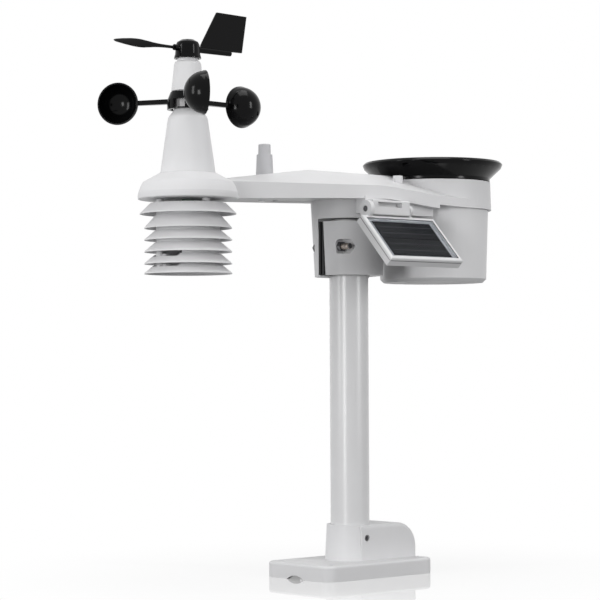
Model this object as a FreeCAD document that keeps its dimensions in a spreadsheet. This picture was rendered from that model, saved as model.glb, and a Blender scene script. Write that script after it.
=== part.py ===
# Home weather station on a short mast: base, pole, sensor arm, radiation shield,
# wind tower with cup rotor and vane, rain gauge and tilting solar panel.
# Origin: pole axis on the floor. +X runs along the arm to the rain gauge, -Y is the
# front, where the solar panel hangs, and +Z is up. Lengths are millimetres.
import FreeCAD, Part
import math
import os
import re

import Sketcher

V = FreeCAD.Vector

# ---- driving dimensions ------------------------------------------------------
SIZES = {
    # foot
    "base_length": 132, "base_width": 84, "base_height": 14, "base_corner": 11,
    "base_wall": 3.5, "base_recess": 9, "base_hole": 2.6, "base_hole_x": 54, "base_hole_y": 32,
    "collar_low": 22.8, "collar_high": 21, "collar_top": 45.5, "socket_floor": 6,
    "hump_start": -6.6, "hump_length": 62.6, "hump_half": 22.2, "hump_top": 45.5, "hump_round": 22,
    "notch_y": 0.5, "notch_width": 22, "notch_rise": 3.6,
    "lock_height": 33.8, "lock_radius": 2, "lock_head": 2.7, "lock_nut": 4,
    # pole and clamp
    "pole_radius": 17.5, "pole_wall": 2, "pole_top": 318, "pole_fit": 0.05,
    "boss_low": 30.6, "boss_high": 34.1, "boss_bottom": 267, "boss_top": 336,
    "clamp_bottom": 268, "clamp_top": 315.7, "clamp_slit": 2.6,
    "gap_front": -2.2, "gap_back": 5, "pad_wall": 1.8,
    "bolt_x": 24, "bolt_z": 293, "bolt_radius": 2.5, "bolt_head": 4.3,
    "bolt_tip": -27.5, "bolt_back": 14, "nut_radius": 4.6, "nut_width": 4, "pocket_radius": 7.4,
    # arm
    "tower_x": -185.7, "rain_x": 108.2, "arm_half": 43.15, "arm_taper": 0.114,
    "arm_wall": 2.2, "arm_ridge": 361,
    "hood_rim": 42.4, "hood_lip": 328, "hood_part": 331.8, "hood_shoulder": 38,
    "hood_shoulder_z": 342.8, "hood_top": 350.2, "hood_wall": 2.2,
    "collar_ring": 54.5, "collar_ring_top": 53.8, "ring_low": 331, "ring_high": 357, "ring_bore": 51.9,
    "battery_radius": 7.1, "battery_length": 50.5, "battery_x": -84, "battery_y": 8, "battery_z": 343.3,
    "door_left": -80, "door_right": -37, "door_half": 18, "door_gap": 0.4,
    "board_x": -18, "board_length": 58, "board_half": 22, "board_z": 343, "board_thick": 1.6,
    "antenna_x": -93, "antenna_y": 8, "antenna_low": 7.9, "antenna_mid": 6.9, "antenna_step": 372.2,
    "antenna_high": 5.6, "antenna_tip": 5.3, "antenna_top": 381.5,
    "level_x": 43, "level_y": -20, "level_radius": 4.6, "level_low": 351.5, "level_top": 360,
    "lens_x": -104, "reset_x": -88, "reset_radius": 2.2, "lens_radius": 2.5,
    # shield and wind sensors
    "plate_gap": 10, "last_gap": 8.3, "plate_low": 265.2, "plate_radius": 37.1, "plate_neck": 28,
    "plate_rise": 8.3, "second_rise": 10.9, "plate_wall": 1.6, "sleeve_inner": 25.4,
    "first_radius": 40.8, "first_low": 315.6, "first_neck": 32, "first_rise": 9.2,
    "window_near": 17.2, "window_far": 19.5, "rod_radius": 1.5, "post_radius": 3.2, "rod_ring": 24,
    "tower_base": 23.4, "tower_neck": 17, "tower_neck_z": 396.2, "tower_top": 404, "tower_crown": 12,
    "tower_wall": 2, "spigot_radius": 11.6, "spigot_bore": 5, "spigot_top": 419.5,
    "hub_low": 403.9, "hub_high": 418.7, "hub_radius": 17.5, "hub_crown": 14.6, "hub_bore": 13,
    "cup_ring": 62.4, "cup_height": 411.2, "cup_radius": 18, "cup_wall": 1.3,
    "spoke_width": 4.1, "rotor_phase": 4,
    "vane_low": 13.9, "vane_shoulder": 10.8, "vane_shoulder_z": 444.6,
    "vane_neck": 8.9, "vane_neck_z": 448.6, "cap_radius": 11.5, "cap_waist": 10.1,
    "cap_low": 447.2, "cap_top": 463.9, "vane_axis": 455.8, "fin_top": 489.9,
    "shaft_radius": 1.5, "shaft_low": 409, "nose_tip": 78.5, "boom_end": 47.2, "boom_radius": 2.3,
    # rain gauge
    "bucket_top": 51.6, "bucket_low": 49.4, "bucket_floor": 264, "bucket_rim": 345, "bucket_wall": 2,
    "funnel_ring": 53.4, "funnel_seat": 357.3, "funnel_neck_z": 360.3, "funnel_flare": 63.7,
    "funnel_flare_z": 369.9, "funnel_max": 65.3, "funnel_max_z": 373.7, "funnel_lip": 63,
    "funnel_top": 376.1, "funnel_wall": 2, "spout_radius": 4, "spout_low": 334, "cone_low": 342,
    "tipper_z": 305, "tipper_tilt": 14, "axle_radius": 1.5,
    # solar panel
    "hinge_y": -47, "hinge_z": 325, "ear_radius": 7.5, "ear_left": -24, "ear_right": -19.5,
    "panel_left": -31, "panel_right": 58, "panel_near": 6, "panel_far": 60.5,
    "panel_face": -1.5, "panel_rear": -10.5, "panel_tilt": 47, "panel_wall": 2,
    "bracket_left": -19, "bracket_right": 27, "bracket_low": 320, "bracket_high": 333.1,
    "bracket_front": -52, "bracket_back": -42,
}

doc = FreeCAD.newDocument("weather_station")
sheet = doc.addObject("Spreadsheet::Sheet", "Sizes")
for row, (alias, size) in enumerate(SIZES.items(), start=1):
    sheet.set(f"A{row}", alias)
    sheet.set(f"B{row}", str(size))
    sheet.setAlias(f"B{row}", alias)
doc.recompute()


# ---- helpers: every size below is a formula of the sheet's words --------------
def formula(text):
    """The text with each size word turned into a reference to its cell."""
    return re.sub(r"[a-z][a-z_]*", lambda m: "Sizes." + m[0] if m[0] in SIZES else m[0], str(text))


def value(text):
    """The number that a formula gives now."""
    result = sheet.evalExpression(formula(text))
    return float(getattr(result, "Value", result))


def bind(item, **sizes):
    for name, text in sizes.items():
        item.setExpression(name, formula(text))


AXES = {
    "x": FreeCAD.Rotation(V(0, 1, 0), 90),
    "y": FreeCAD.Rotation(V(1, 0, 0), -90),
    "z": FreeCAD.Rotation(),
}


def put(item, at, axis="z"):
    """Places an item: at holds three formulas, and axis is the way its height runs."""
    item.Placement = FreeCAD.Placement(V(*(value(text) for text in at)), AXES[axis])
    for letter, text in zip("xyz", at):
        item.setExpression(f".Placement.Base.{letter}", formula(text))
    return item


def box(name, low, high):
    item = doc.addObject("Part::Box", name)
    spans = [f"({b}) - ({a})" for a, b in zip(low, high)]
    bind(item, Length=spans[0], Width=spans[1], Height=spans[2])
    return put(item, low)


def cylinder(name, radius, height, at, axis="z"):
    item = doc.addObject("Part::Cylinder", name)
    bind(item, Radius=radius, Height=height)
    return put(item, at, axis)


def cone(name, low, high, height, at, axis="z"):
    item = doc.addObject("Part::Cone", name)
    bind(item, Radius1=low, Radius2=high, Height=height)
    return put(item, at, axis)


def prism(name, sides, radius, height, at, axis="z"):
    item = doc.addObject("Part::Prism", name)
    item.Polygon = sides
    bind(item, Circumradius=radius, Height=height)
    return put(item, at, axis)


def fuse(name, *items):
    item = doc.addObject("Part::MultiFuse", name)
    item.Shapes = list(items)
    item.Refine = True
    return item


def cut(name, base, *tools):
    item = doc.addObject("Part::Cut", name)
    item.Base = base
    item.Tool = tools[0] if len(tools) == 1 else fuse(name + "_tools", *tools)
    item.Refine = True
    return item


def common(name, *items):
    item = doc.addObject("Part::MultiCommon", name)
    item.Shapes = list(items)
    return item


def group(name, *items):
    item = doc.addObject("Part::Compound", name)
    item.Links = list(items)
    return item


def outline(sketch, points):
    """Closes a polygon through the points and fixes each one by its two formulas."""
    numbers = [V(value(a), value(b), 0) for a, b in points]
    count = len(points)
    for i in range(count):
        sketch.addGeometry(Part.LineSegment(numbers[i], numbers[(i + 1) % count]))
    for i in range(count):
        sketch.addConstraint(Sketcher.Constraint("Coincident", i, 2, (i + 1) % count, 1))
    for i, point in enumerate(points):
        for kind, text, number in zip(("DistanceX", "DistanceY"), point, numbers[i]):
            index = sketch.addConstraint(Sketcher.Constraint(kind, i, 1, number))
            sketch.setExpression(f"Constraints[{index}]", formula(text))
    return sketch


def body_sketch(name, plane, points):
    body = doc.addObject("PartDesign::Body", name)
    sketch = body.newObject("Sketcher::SketchObject", name + "_outline")
    origin = next(item for item in body.Origin.OriginFeatures if item.Role == plane)
    sketch.AttachmentSupport = [(origin, "")]
    sketch.MapMode = "FlatFace"
    return body, outline(sketch, points)


def turned(name, points, x="0", y="0"):
    """A lathe part: (radius, height) points turned about the vertical line through x, y."""
    body, sketch = body_sketch(name, "XZ_Plane", points)
    turn = body.newObject("PartDesign::Revolution", name + "_turn")
    turn.Profile = sketch
    turn.ReferenceAxis = (sketch, ["V_Axis"])
    turn.Angle = 360
    return put(body, (x, y, "0"))


def pressed(name, plane, points, length, at=("0", "0", "0"), both=False):
    """A flat outline on one of the origin planes, made length thick."""
    body, sketch = body_sketch(name, plane, points)
    pad = body.newObject("PartDesign::Pad", name + "_pad")
    pad.Profile = sketch
    bind(pad, Length=length)
    pad.Midplane = both
    return put(body, at)


def rounded(name, base, radius, picks):
    """Fillets the edges whose middle point satisfies picks."""
    doc.recompute()
    item = doc.addObject("Part::Fillet", name)
    item.Base = base
    chosen = []
    for number, edge in enumerate(base.Shape.Edges, start=1):
        middle = edge.valueAt((edge.FirstParameter + edge.LastParameter) / 2)
        if picks(middle, edge):
            chosen.append((number, value(radius), value(radius)))
    assert chosen, name
    item.Edges = chosen
    return item


def stations(name, rows):
    """A ruled body through cross-sections: rows of (x, [(y, z), ...]) formulas."""
    sections = []
    for number, (x, points) in enumerate(rows):
        sketch = doc.addObject("Sketcher::SketchObject", f"{name}_section_{number}")
        outline(sketch, points)
        sketch.Placement.Rotation = FreeCAD.Rotation(0.5, 0.5, 0.5, 0.5)
        sketch.setExpression(".Placement.Base.x", formula(x))
        sections.append(sketch)
    item = doc.addObject("Part::Loft", name)
    item.Sections = sections
    item.Solid = True
    item.Ruled = True
    return item


def ring_spot(angle, radius, height):
    """A point round the tower's axis, as three formulas."""
    return f"tower_x + ({radius}) * cos({angle})", f"({radius}) * sin({angle})", height


def swung(name, item, degrees, x="tower_x"):
    """A copy of the item turned about the vertical line through x."""
    copy = group(name, item)
    copy.Placement = FreeCAD.Placement(V(), FreeCAD.Rotation(V(0, 0, 1), degrees), V(value(x), 0, 0))
    return copy


NODES = {}


def node(name, item):
    """Marks an item as a piece of the object, which is written to its own file."""
    item.Label = name
    NODES[name] = item
    return item


# ---- foot --------------------------------------------------------------------
plate = box("plate", ("-base_length / 2", "-base_width / 2", "0"),
            ("base_length / 2", "base_width / 2", "base_height"))
plate = rounded("plate_corners", plate, "base_corner",
                lambda mid, edge: abs(mid.z - value("base_height / 2")) < 1)
plate = rounded("plate_top", plate, "2.5", lambda mid, edge: mid.z > value("base_height") - 0.1)
foot_collar = cone("foot_collar", "collar_low", "collar_high", "collar_top - base_height + 4",
                   ("0", "0", "base_height - 4"))
hump = box("hump_block", ("hump_start", "-hump_half", "base_height - 4"),
           ("hump_length", "hump_half", "hump_top"))
hump = rounded("hump_end", hump, "hump_round",
               lambda mid, edge: mid.x > value("hump_length") - 0.1 and mid.z > value("hump_top") - 0.1)
hump = rounded("hump_edges", hump, "4",
               lambda mid, edge: mid.z > value("hump_top") - 0.1 and abs(mid.y) > 20)
rim_clear = cylinder("rim_clear", "collar_high", "9", ("0", "0", "collar_top"))
recess = box("recess", ("-base_length / 2 + base_wall", "-base_width / 2 + base_wall", "-1"),
             ("base_length / 2 - base_wall", "base_width / 2 - base_wall", "base_recess"))
rib_long = box("rib_long", ("-base_length / 2", "-1.5", "-2"),
               ("base_length / 2", "1.5", "base_recess + 1"))
rib_wide = box("rib_wide", ("-1.5", "-base_width / 2", "-2"),
               ("1.5", "base_width / 2", "base_recess + 1"))
rib_disc = cylinder("rib_disc", "collar_low", "base_recess + 3", ("0", "0", "-2"))
corners = [(sx, sy) for sx in ("", "-") for sy in ("", "-")]
bosses = [cylinder(f"base_boss_{i}", "base_hole + 3.4", "base_recess + 3",
                   (f"{sx}base_hole_x", f"{sy}base_hole_y", "-2"))
          for i, (sx, sy) in enumerate(corners)]
recess = cut("base_recess_cut", recess, rib_long, rib_wide, rib_disc, *bosses)
holes = [cylinder(f"base_hole_{i}", "base_hole", "base_height + 2",
                  (f"{sx}base_hole_x", f"{sy}base_hole_y", "-1")) for i, (sx, sy) in enumerate(corners)]
notch_radius = "((notch_width / 2) ^ 2 + notch_rise ^ 2) / (2 * notch_rise)"
notch = cylinder("notch", notch_radius, "base_wall + 4",
                 ("-base_length / 2 - 1", "notch_y", f"notch_rise - {notch_radius}"), "x")
socket = cylinder("socket", "pole_radius + pole_fit", "collar_top", ("0", "0", "socket_floor"))
lock_way = cylinder("lock_way", "lock_radius", "60", ("0", "-30", "lock_height"), "y")
lock_sink = cylinder("lock_sink", "lock_head + 0.3", "12.2", ("0", "-hump_half - 9", "lock_height"),
                     "y")
nut_sink = prism("nut_sink", 6, "lock_nut + 0.3", "10", ("0", "hump_half - 1.5", "lock_height"), "y")
node("mount_base",
     cut(
         "mount_base", fuse("foot_block", plate, foot_collar, cut("hump_cut", hump, rim_clear)), recess,
         notch, socket, lock_way, lock_sink, nut_sink, *holes))

# ---- pole, with its lock screw -----------------------------------------------
tube = cylinder("tube", "pole_radius", "pole_top - socket_floor", ("0", "0", "socket_floor"))
tube_bore = cylinder("tube_bore", "pole_radius - pole_wall", "pole_top", ("0", "0", "socket_floor - 1"))
node("pole_tube",
     cut(
         "pole_tube", tube, tube_bore,
         cylinder("tube_way", "lock_radius", "60", ("0", "-30", "lock_height"), "y")))
shank = cylinder("lock_shank", "lock_radius", "2 * hump_half - 3.2",
                 ("0", "-hump_half + 3.2", "lock_height"), "y")
head = cylinder("lock_disc", "lock_head", "1.8", ("0", "-hump_half + 1.4", "lock_height"), "y")
key = prism("lock_key", 6, "1.5", "1.2", ("0", "-hump_half + 1.2", "lock_height"), "y")
node("pole_lock_screw", cut("pole_lock_screw", fuse("lock_body", shank, head), key))
nut = prism("lock_nut_body", 6, "lock_nut", "1.7", ("0", "hump_half - 1.5", "lock_height"), "y")
node("pole_lock_nut",
     cut(
         "pole_lock_nut", nut,
         cylinder("lock_nut_way", "lock_radius", "9", ("0", "hump_half - 4", "lock_height"), "y")))


# ---- arm: floor tray, roofed cover -------------------------------------------
def width_at(x, inset="0"):
    return f"arm_half + arm_taper * ({x}) - ({inset})"


# Stations along the arm: place, lip bottom, parting line, eave and ridge.
ARM = [
    ("-165", "328.4", "331.9", "343.4", "346"),
    ("-145", "329.8", "333.3", "343.9", "348.4"),
    ("-49", "333.6", "337.1", "345.9", "arm_ridge"),
    ("-4", "335.4", "338.8", "346.8", "arm_ridge"),
    ("8", "335.2", "338.6", "346.5", "arm_ridge"),
    ("66", "329", "332.4", "340.6", "arm_ridge"),
    ("100", "327.5", "ring_low", "339", "352"),
]


def slab(name, low, high, inset):
    """A flat length of the arm between two heights, each a formula of a station."""
    first, last = ARM[0][0], ARM[-1][0]
    plan = [(first, f"-({width_at(first, inset)})"), (last, f"-({width_at(last, inset)})"),
            (last, width_at(last, inset)), (first, width_at(first, inset))]
    bottom, top = ([(x, text.format(lip=lip, part=part)) for x, lip, part, eave, ridge in ARM]
                   for text in (low, high))
    from_above = pressed(f"{name}_plan", "XY_Plane", plan, "60", ("0", "0", "310"))
    from_front = pressed(f"{name}_side", "XZ_Plane", bottom + top[::-1], "150", both=True)
    return common(name, from_above, from_front)


def roof(name, drop, inset, skirt):
    """The roofed length of the arm, brought in by drop and inset."""
    rows = []
    for x, lip, part, eave, ridge in ARM:
        half = width_at(x, inset)
        low = f"{part} - {skirt}"
        high = f"{eave} - {drop}"
        rows.append((x,
                     [(f"-({half})", low), (half, low), (half, high), ("0", f"{ridge} - {drop}"),
                      (f"-({half})", high)]))
    return stations(name, rows)


boss = cone("boss_cone", "boss_low", "boss_high", "boss_top - boss_bottom", ("0", "0", "boss_bottom"))
boss_bore = cylinder("boss_bore", "pole_radius + pad_wall", "clamp_top - boss_bottom + 4.3",
                     ("0", "0", "boss_bottom - 4"))
pole_way = cylinder("pole_way", "pole_radius + pole_fit", "10", ("0", "0", "pole_top - 9.7"))
front_way = box("front_way", ("-40", "-40", "boss_bottom - 1"),
                ("40", "gap_back", "clamp_top + clamp_slit"))
bolt_ways = [cylinder(f"bolt_way_{i}", "bolt_radius", "40", (f"{s}bolt_x", "-10", "bolt_z"), "y")
             for i, s in enumerate(("", "-"))]
bolt_sinks = [cylinder(f"bolt_sink_{i}", "bolt_head + 1", "20", (f"{s}bolt_x", "bolt_back", "bolt_z"),
                       "y")
              for i, s in enumerate(("", "-"))]
lower_disc = cylinder("lower_disc", "hood_rim", "hood_part - hood_lip", ("tower_x", "0", "hood_lip"))
lower_disc = rounded("lower_lip", lower_disc, "1.2", lambda mid, edge: mid.z < value("hood_lip") + 0.1)
tray = fuse("tray_block", slab("tray_slab", "{lip}", "{part}", "0"), lower_disc,
            boss, box("panel_block", ("bracket_left", "bracket_back", "322"), ("66", "-30", "337")))
tray_well = slab("tray_well", "{lip} + 2", "{part} + 12", "arm_wall")
tray_pan = cylinder("tray_pan", "hood_rim - hood_wall", "12", ("tower_x", "0", "hood_lip + 2"))
boss_core = cylinder("boss_core", "boss_high + 0.4", "12", ("0", "0", "326"))
well = cut("tray_hollow", fuse("tray_hollow_block", tray_well, tray_pan), boss_core)
door_way = box("door_way", ("door_left", "-door_half", "320"), ("door_right", "door_half", "345"))
rain_way = cylinder("rain_way", "ring_bore", "60", ("rain_x", "0", "310"))
tray_end = box("tray_end", ("66", "-60", "320"), ("110", "60", "345"))
lens_way = cylinder("lens_way", "lens_radius", "20", ("lens_x", "0", "320"))
stalk_way = box("stalk_way", ("tower_x - 6.2", "-1", "320"), ("tower_x + 6.2", "1", "340"))
ring_clear = cylinder("ring_clear", "collar_ring + 0.1", "20", ("rain_x", "0", "ring_low - 0.1"))
reset_way = cylinder("reset_way", "reset_radius + 0.4", "20", ("reset_x", "0", "320"))
rod_angles = (30, 150, 270)
rod_ways = [cylinder(f"rod_way_{i}", "rod_radius", "30", ring_spot(angle, "rod_ring", "315"))
            for i, angle in enumerate(rod_angles)]
# Screws that join tray and cover: place, and the height of the tray's lip there.
SCREWS = [("-132", "-17", "330.3"), ("-132", "17", "330.3"), ("38", "-30", "332"),
          ("38", "30", "332")]
screw_ways = [cylinder(f"screw_way_{i}", "1.5", "26", (x, y, "322"))
              for i, (x, y, lip) in enumerate(SCREWS)]
screw_sinks = [cylinder(f"screw_sink_{i}", "2.9", "8", (x, y, f"{lip} - 6.2"))
               for i, (x, y, lip) in enumerate(SCREWS)]
screw_rings = [cylinder(f"screw_ring_{i}", "4.4", "3.1", (x, y, f"{lip} + 0.5"))
               for i, (x, y, lip) in enumerate(SCREWS)]
board_posts = [cylinder(f"board_post_{i}", "2.5", "board_z - 332.5", (x, y, "332.5"))
               for i, (x, y) in enumerate([("board_x + 4", "board_half - 4"),
                                           ("board_x + 4", "4 - board_half"),
                                           ("board_x + board_length - 4", "board_half - 4"),
                                           ("board_x + board_length - 4", "4 - board_half")])]
hood_seat = cut("hood_seat",
                cylinder("hood_seat_disc", "hood_rim + 0.2", "6", ("tower_x", "0", "hood_part")),
                cylinder("hood_seat_core", "hood_rim - hood_wall - 0.5", "6",
                         ("tower_x", "0", "hood_part")))
tray_open = cut("tray_open", tray, well, boss_bore, pole_way, front_way, door_way, rain_way, ring_clear,
                stalk_way, tray_end, hood_seat)
node("arm_lower_housing",
     cut(
         "arm_lower_housing", fuse("tray_posted", tray_open, *board_posts, *screw_rings), lens_way,
         reset_way, *bolt_ways, *bolt_sinks, *rod_ways, *screw_ways, *screw_sinks))

hood = turned("hood",
              [("0", "hood_part"), ("hood_rim - 0.1", "hood_part"), ("hood_rim - 0.3", "hood_part + 2"),
               ("hood_rim - 2.4", "hood_part + 7.5"), ("hood_shoulder", "hood_shoulder_z"),
               ("tower_base + 1", "hood_top"), ("0", "hood_top")],
              "tower_x")
hood_void = turned("hood_void",
                   [("0", "hood_part - 1"), ("hood_rim - hood_wall", "hood_part - 1"),
                    ("hood_rim - hood_wall - 0.3", "hood_part + 1.6"),
                    ("hood_shoulder - hood_wall", "hood_shoulder_z - 1"),
                    ("tower_base", "hood_top - hood_wall"), ("0", "hood_top - hood_wall")],
                   "tower_x")
ring = cone("ring", "collar_ring", "collar_ring_top", "ring_high - ring_low",
            ("rain_x", "0", "ring_low"))
ring_void = cylinder("ring_void", "ring_bore", "80", ("rain_x", "0", "310"))
roof_end = box("roof_end", ("66", "-60", "320"), ("110", "60", "365"))
roof_void = cut("roof_void", roof("roof_inside", "2.2", "arm_wall", "3"), roof_end)
funnel_clear = cylinder("funnel_clear", "funnel_ring + 0.7", "20", ("rain_x", "0", "ring_high"))
hood_hole = cylinder("hood_hole", "tower_base - tower_wall - 2", "20",
                     ("tower_x", "0", "hood_top - 10"))
antenna_hole = cylinder("antenna_hole", "4", "30", ("antenna_x", "antenna_y", "340"))
level_hole = cylinder("level_hole", "level_radius", "30", ("level_x", "level_y", "level_low"))
cover_shell = cut("cover_shell", fuse("cover_block", roof("roof_block", "0", "0", "0"), hood, ring),
                  roof_void, hood_void)
screw_posts = [common(f"screw_post_{i}",
                      cylinder(f"screw_bar_{i}", "3.4", "30", (x, y, f"{lip} + 3.7")),
                      roof(f"screw_roof_{i}", "1", "0", "0"))
               for i, (x, y, lip) in enumerate(SCREWS)]
screw_bores = [cylinder(f"screw_bore_{i}", "1.5", f"{lip} - 308.9", (x, y, "322"))
               for i, (x, y, lip) in enumerate(SCREWS)]
node("arm_top_cover",
     cut(
         "arm_top_cover", fuse("cover_posted", cover_shell, *screw_posts), ring_void, funnel_clear,
         hood_hole, antenna_hole, level_hole, *screw_bores))


# ---- clamp on the pole ---------------------------------------------------------
BOSS_SLOPE = "(boss_high - boss_low) / (boss_top - boss_bottom)"
half_cone = cone("clamp_cone", f"boss_low + {BOSS_SLOPE} * (clamp_bottom - boss_bottom)",
                 f"boss_low + {BOSS_SLOPE} * (clamp_top - boss_bottom)", "clamp_top - clamp_bottom",
                 ("0", "0", "clamp_bottom"))
clamp_bore = cylinder("clamp_bore", "pole_radius + pad_wall", "80", ("0", "0", "clamp_bottom - 10"))
clamp_back = box("clamp_back", ("-40", "gap_front", "clamp_bottom - 1"), ("40", "40", "clamp_top + 1"))
clamp_ways = [cylinder(f"clamp_way_{i}", "bolt_radius", "60", (f"{s}bolt_x", "-40", "bolt_z"), "y")
              for i, s in enumerate(("", "-"))]
pockets = [prism(f"clamp_pocket_{i}", 6, "pocket_radius", "20", (f"{s}bolt_x", "-34", "bolt_z"), "y")
           for i, s in enumerate(("", "-"))]
node("clamp_half", cut("clamp_half", half_cone, clamp_back, clamp_bore, *clamp_ways, *pockets))

pad_ring = cylinder("pad_ring", "pole_radius + pad_wall - 0.02", "clamp_top - clamp_bottom",
                    ("0", "0", "clamp_bottom"))
pad_bore = cylinder("pad_bore", "pole_radius + pole_fit", "80", ("0", "0", "clamp_bottom - 10"))
pad_split = box("pad_split", ("-40", "0.4", "clamp_bottom - 1"), ("40", "2.4", "clamp_top + 1"))
flanges = [box(f"pad_flange_{i}", (f"{a}", low, "clamp_bottom"), (f"{b}", high, "clamp_top"))
           for i, (a, b, low, high) in enumerate([("-28.5", "-18.6", "gap_front + 0.1", "0.4"),
                                                  ("18.6", "28.5", "gap_front + 0.1", "0.4"),
                                                  ("-28.5", "-18.6", "2.4", "gap_back - 0.1"),
                                                  ("18.6", "28.5", "2.4", "gap_back - 0.1")])]
pad_ways = [cylinder(f"pad_way_{i}", "bolt_radius", "60", (f"{s}bolt_x", "-30", "bolt_z"), "y")
            for i, s in enumerate(("", "-"))]
node("clamp_pads",
     cut("clamp_pads", fuse("pad_block", pad_ring, *flanges), pad_bore, pad_split, *pad_ways))

bolts = []
nuts = []
for i, s in enumerate(("", "-")):
    bar = cylinder(f"bolt_bar_{i}", "bolt_radius", "bolt_back - bolt_tip",
                   (f"{s}bolt_x", "bolt_tip", "bolt_z"), "y")
    bar = rounded(f"bolt_end_{i}", bar, "0.6", lambda mid, edge: mid.y < value("bolt_tip") + 0.1)
    disc = prism(f"bolt_hex_{i}", 6, "bolt_head", "3.6", (f"{s}bolt_x", "bolt_back", "bolt_z"), "y")
    bolts.append(fuse(f"clamp_bolt_{i}", bar, disc))
    hexagon = prism(f"nut_hex_{i}", 6, "nut_radius", "nut_width",
                    (f"{s}bolt_x", "-14 - nut_width", "bolt_z"), "y")
    way = cylinder(f"nut_way_{i}", "bolt_radius", "30", (f"{s}bolt_x", "-30", "bolt_z"), "y")
    nuts.append(cut(f"clamp_nut_{i}", hexagon, way))
node("clamp_bolts", group("clamp_bolts", *bolts))
node("clamp_nuts", group("clamp_nuts", *nuts))

# ---- what the arm carries --------------------------------------------------------
screws = []
for i, (x, y, lip) in enumerate(SCREWS):
    bar = cylinder(f"housing_screw_bar_{i}", "1.45", "12", (x, y, f"{lip} + 1"))
    screws.append(fuse(f"housing_screw_{i}", bar,
                       cylinder(f"housing_screw_head_{i}", "2.6", "1.4", (x, y, f"{lip} + 0.3"))))
node("housing_screws", group("housing_screws", *screws))

stub = fuse("antenna_body",
            cone("antenna_foot", "antenna_low", "antenna_mid", "antenna_step - 349",
                 ("antenna_x", "antenna_y", "349")),
            cone("antenna_upper", "antenna_high", "antenna_tip", "antenna_top - antenna_step + 1",
                 ("antenna_x", "antenna_y", "antenna_step - 1")))
stub = rounded("antenna_crown", stub, "1", lambda mid, edge: mid.z > value("antenna_top") - 0.1)
antenna_seat = cut("antenna_seat", stub, roof("antenna_roof", "0", "0", "0"))
spigot = cylinder("antenna_spigot", "3.95", "8", ("antenna_x", "antenna_y", "346"))
node("antenna_stub", cut("antenna_stub", fuse("antenna_whole", antenna_seat, spigot),
                         cylinder("antenna_bore", "2.4", "30", ("antenna_x", "antenna_y", "345"))))

cup = cylinder("level_cup", "level_radius - 0.05", "level_top - level_low - 0.8",
               ("level_x", "level_y", "level_low"))
well = cylinder("level_well", "level_radius - 1", "9", ("level_x", "level_y", "level_low + 1.2"))
node("bubble_level", cut("bubble_level", cup, well))
node("bubble_level_lens",
     rounded("bubble_level_lens",
             cylinder("level_glass", "level_radius - 1.05", "level_top - level_low - 1.3",
                      ("level_x", "level_y", "level_low + 1.25")),
             "1.2", lambda mid, edge: mid.z > value("level_top") - 0.2))
node("status_lens", cylinder("status_lens", "lens_radius - 0.02", "4", ("lens_x", "0", "330.6")))
stem = cylinder("reset_stem", "reset_radius", "3.6", ("reset_x", "0", "331.4"))
node("reset_button",
     fuse("reset_button", stem,
          cylinder("reset_flange", "reset_radius + 1", "1.2", ("reset_x", "0", "334.5"))))

board = box("board", ("board_x", "-board_half", "board_z"),
            ("board_x + board_length", "board_half", "board_z + board_thick"))
chips = [box(
             f"chip_{i}", (f"board_x + {x}", y, "board_z + board_thick"),
             (f"board_x + {x} + {w}", f"{y} + {d}", "board_z + board_thick + 1.4"))
         for i, (x, y, w, d) in enumerate([(10, "-6", 12, 12), (30, "-10", 8, 6), (30, "4", 16, 5),
                                           (44, "-8", 6, 10)])]
node("main_board", fuse("main_board", board, *chips))

cells = []
contacts = []
for i, s in enumerate(("", "-")):
    can = cylinder(f"cell_can_{i}", "battery_radius", "battery_length - 1.4",
                   ("battery_x", f"{s}battery_y", "battery_z"), "x")
    tip = cylinder(f"cell_tip_{i}", "2.7", "1.5",
                   ("battery_x + battery_length - 1.5", f"{s}battery_y", "battery_z"), "x")
    cells.append(fuse(f"cell_{i}", can, tip))
    contacts.append(box(
                        f"contact_left_{i}", ("battery_x - 1", f"{s}battery_y - 4", "338"),
                        ("battery_x", f"{s}battery_y + 4", "battery_z + 4")))
    contacts.append(box(
                        f"contact_right_{i}",
                        ("battery_x + battery_length", f"{s}battery_y - 4", "339.5"),
                        ("battery_x + battery_length + 1", f"{s}battery_y + 4", "battery_z + 4")))
node("battery_cells", group("battery_cells", *cells))
node("battery_contacts", group("battery_contacts", *contacts))
door_block = box("door_block", ("door_left + door_gap", "-door_half + door_gap", "320"),
                 ("door_right - door_gap", "door_half - door_gap", "345"))
door_hole = cylinder("door_hole", "1.5", "30", ("door_left + 6", "0", "320"))
door_sink = cylinder("door_sink", "2.8", "4.2", ("door_left + 6", "0", "330"))
node("battery_door",
     cut(
         "battery_door",
         common("door_slab", slab("door_full", "{lip} + 0.3", "{lip} + 2", "0"), door_block), door_hole,
         door_sink))
door_bar = cylinder("door_bar", "1.45", "4.4", ("door_left + 6", "0", "332.8"))
node("door_screw",
     cut(
         "door_screw", door_bar,
         box("door_key", ("door_left", "-0.4", "332"), ("door_left + 12", "0.4", "333.3"))))

# ---- radiation shield --------------------------------------------------------------
rods = [fuse(f"rod_{i}",
             cylinder(f"rod_bar_{i}", "rod_radius - 0.05", "hood_lip - plate_low - 3",
                      ring_spot(angle, "rod_ring", "plate_low + 5")),
             cylinder(f"rod_head_{i}", "2.6", "1.6",
                      ring_spot(angle, "rod_ring", "plate_low + plate_rise - plate_wall - 1.6")))
        for i, angle in enumerate(rod_angles)]
node("shield_screws", group("shield_screws", *rods))


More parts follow.
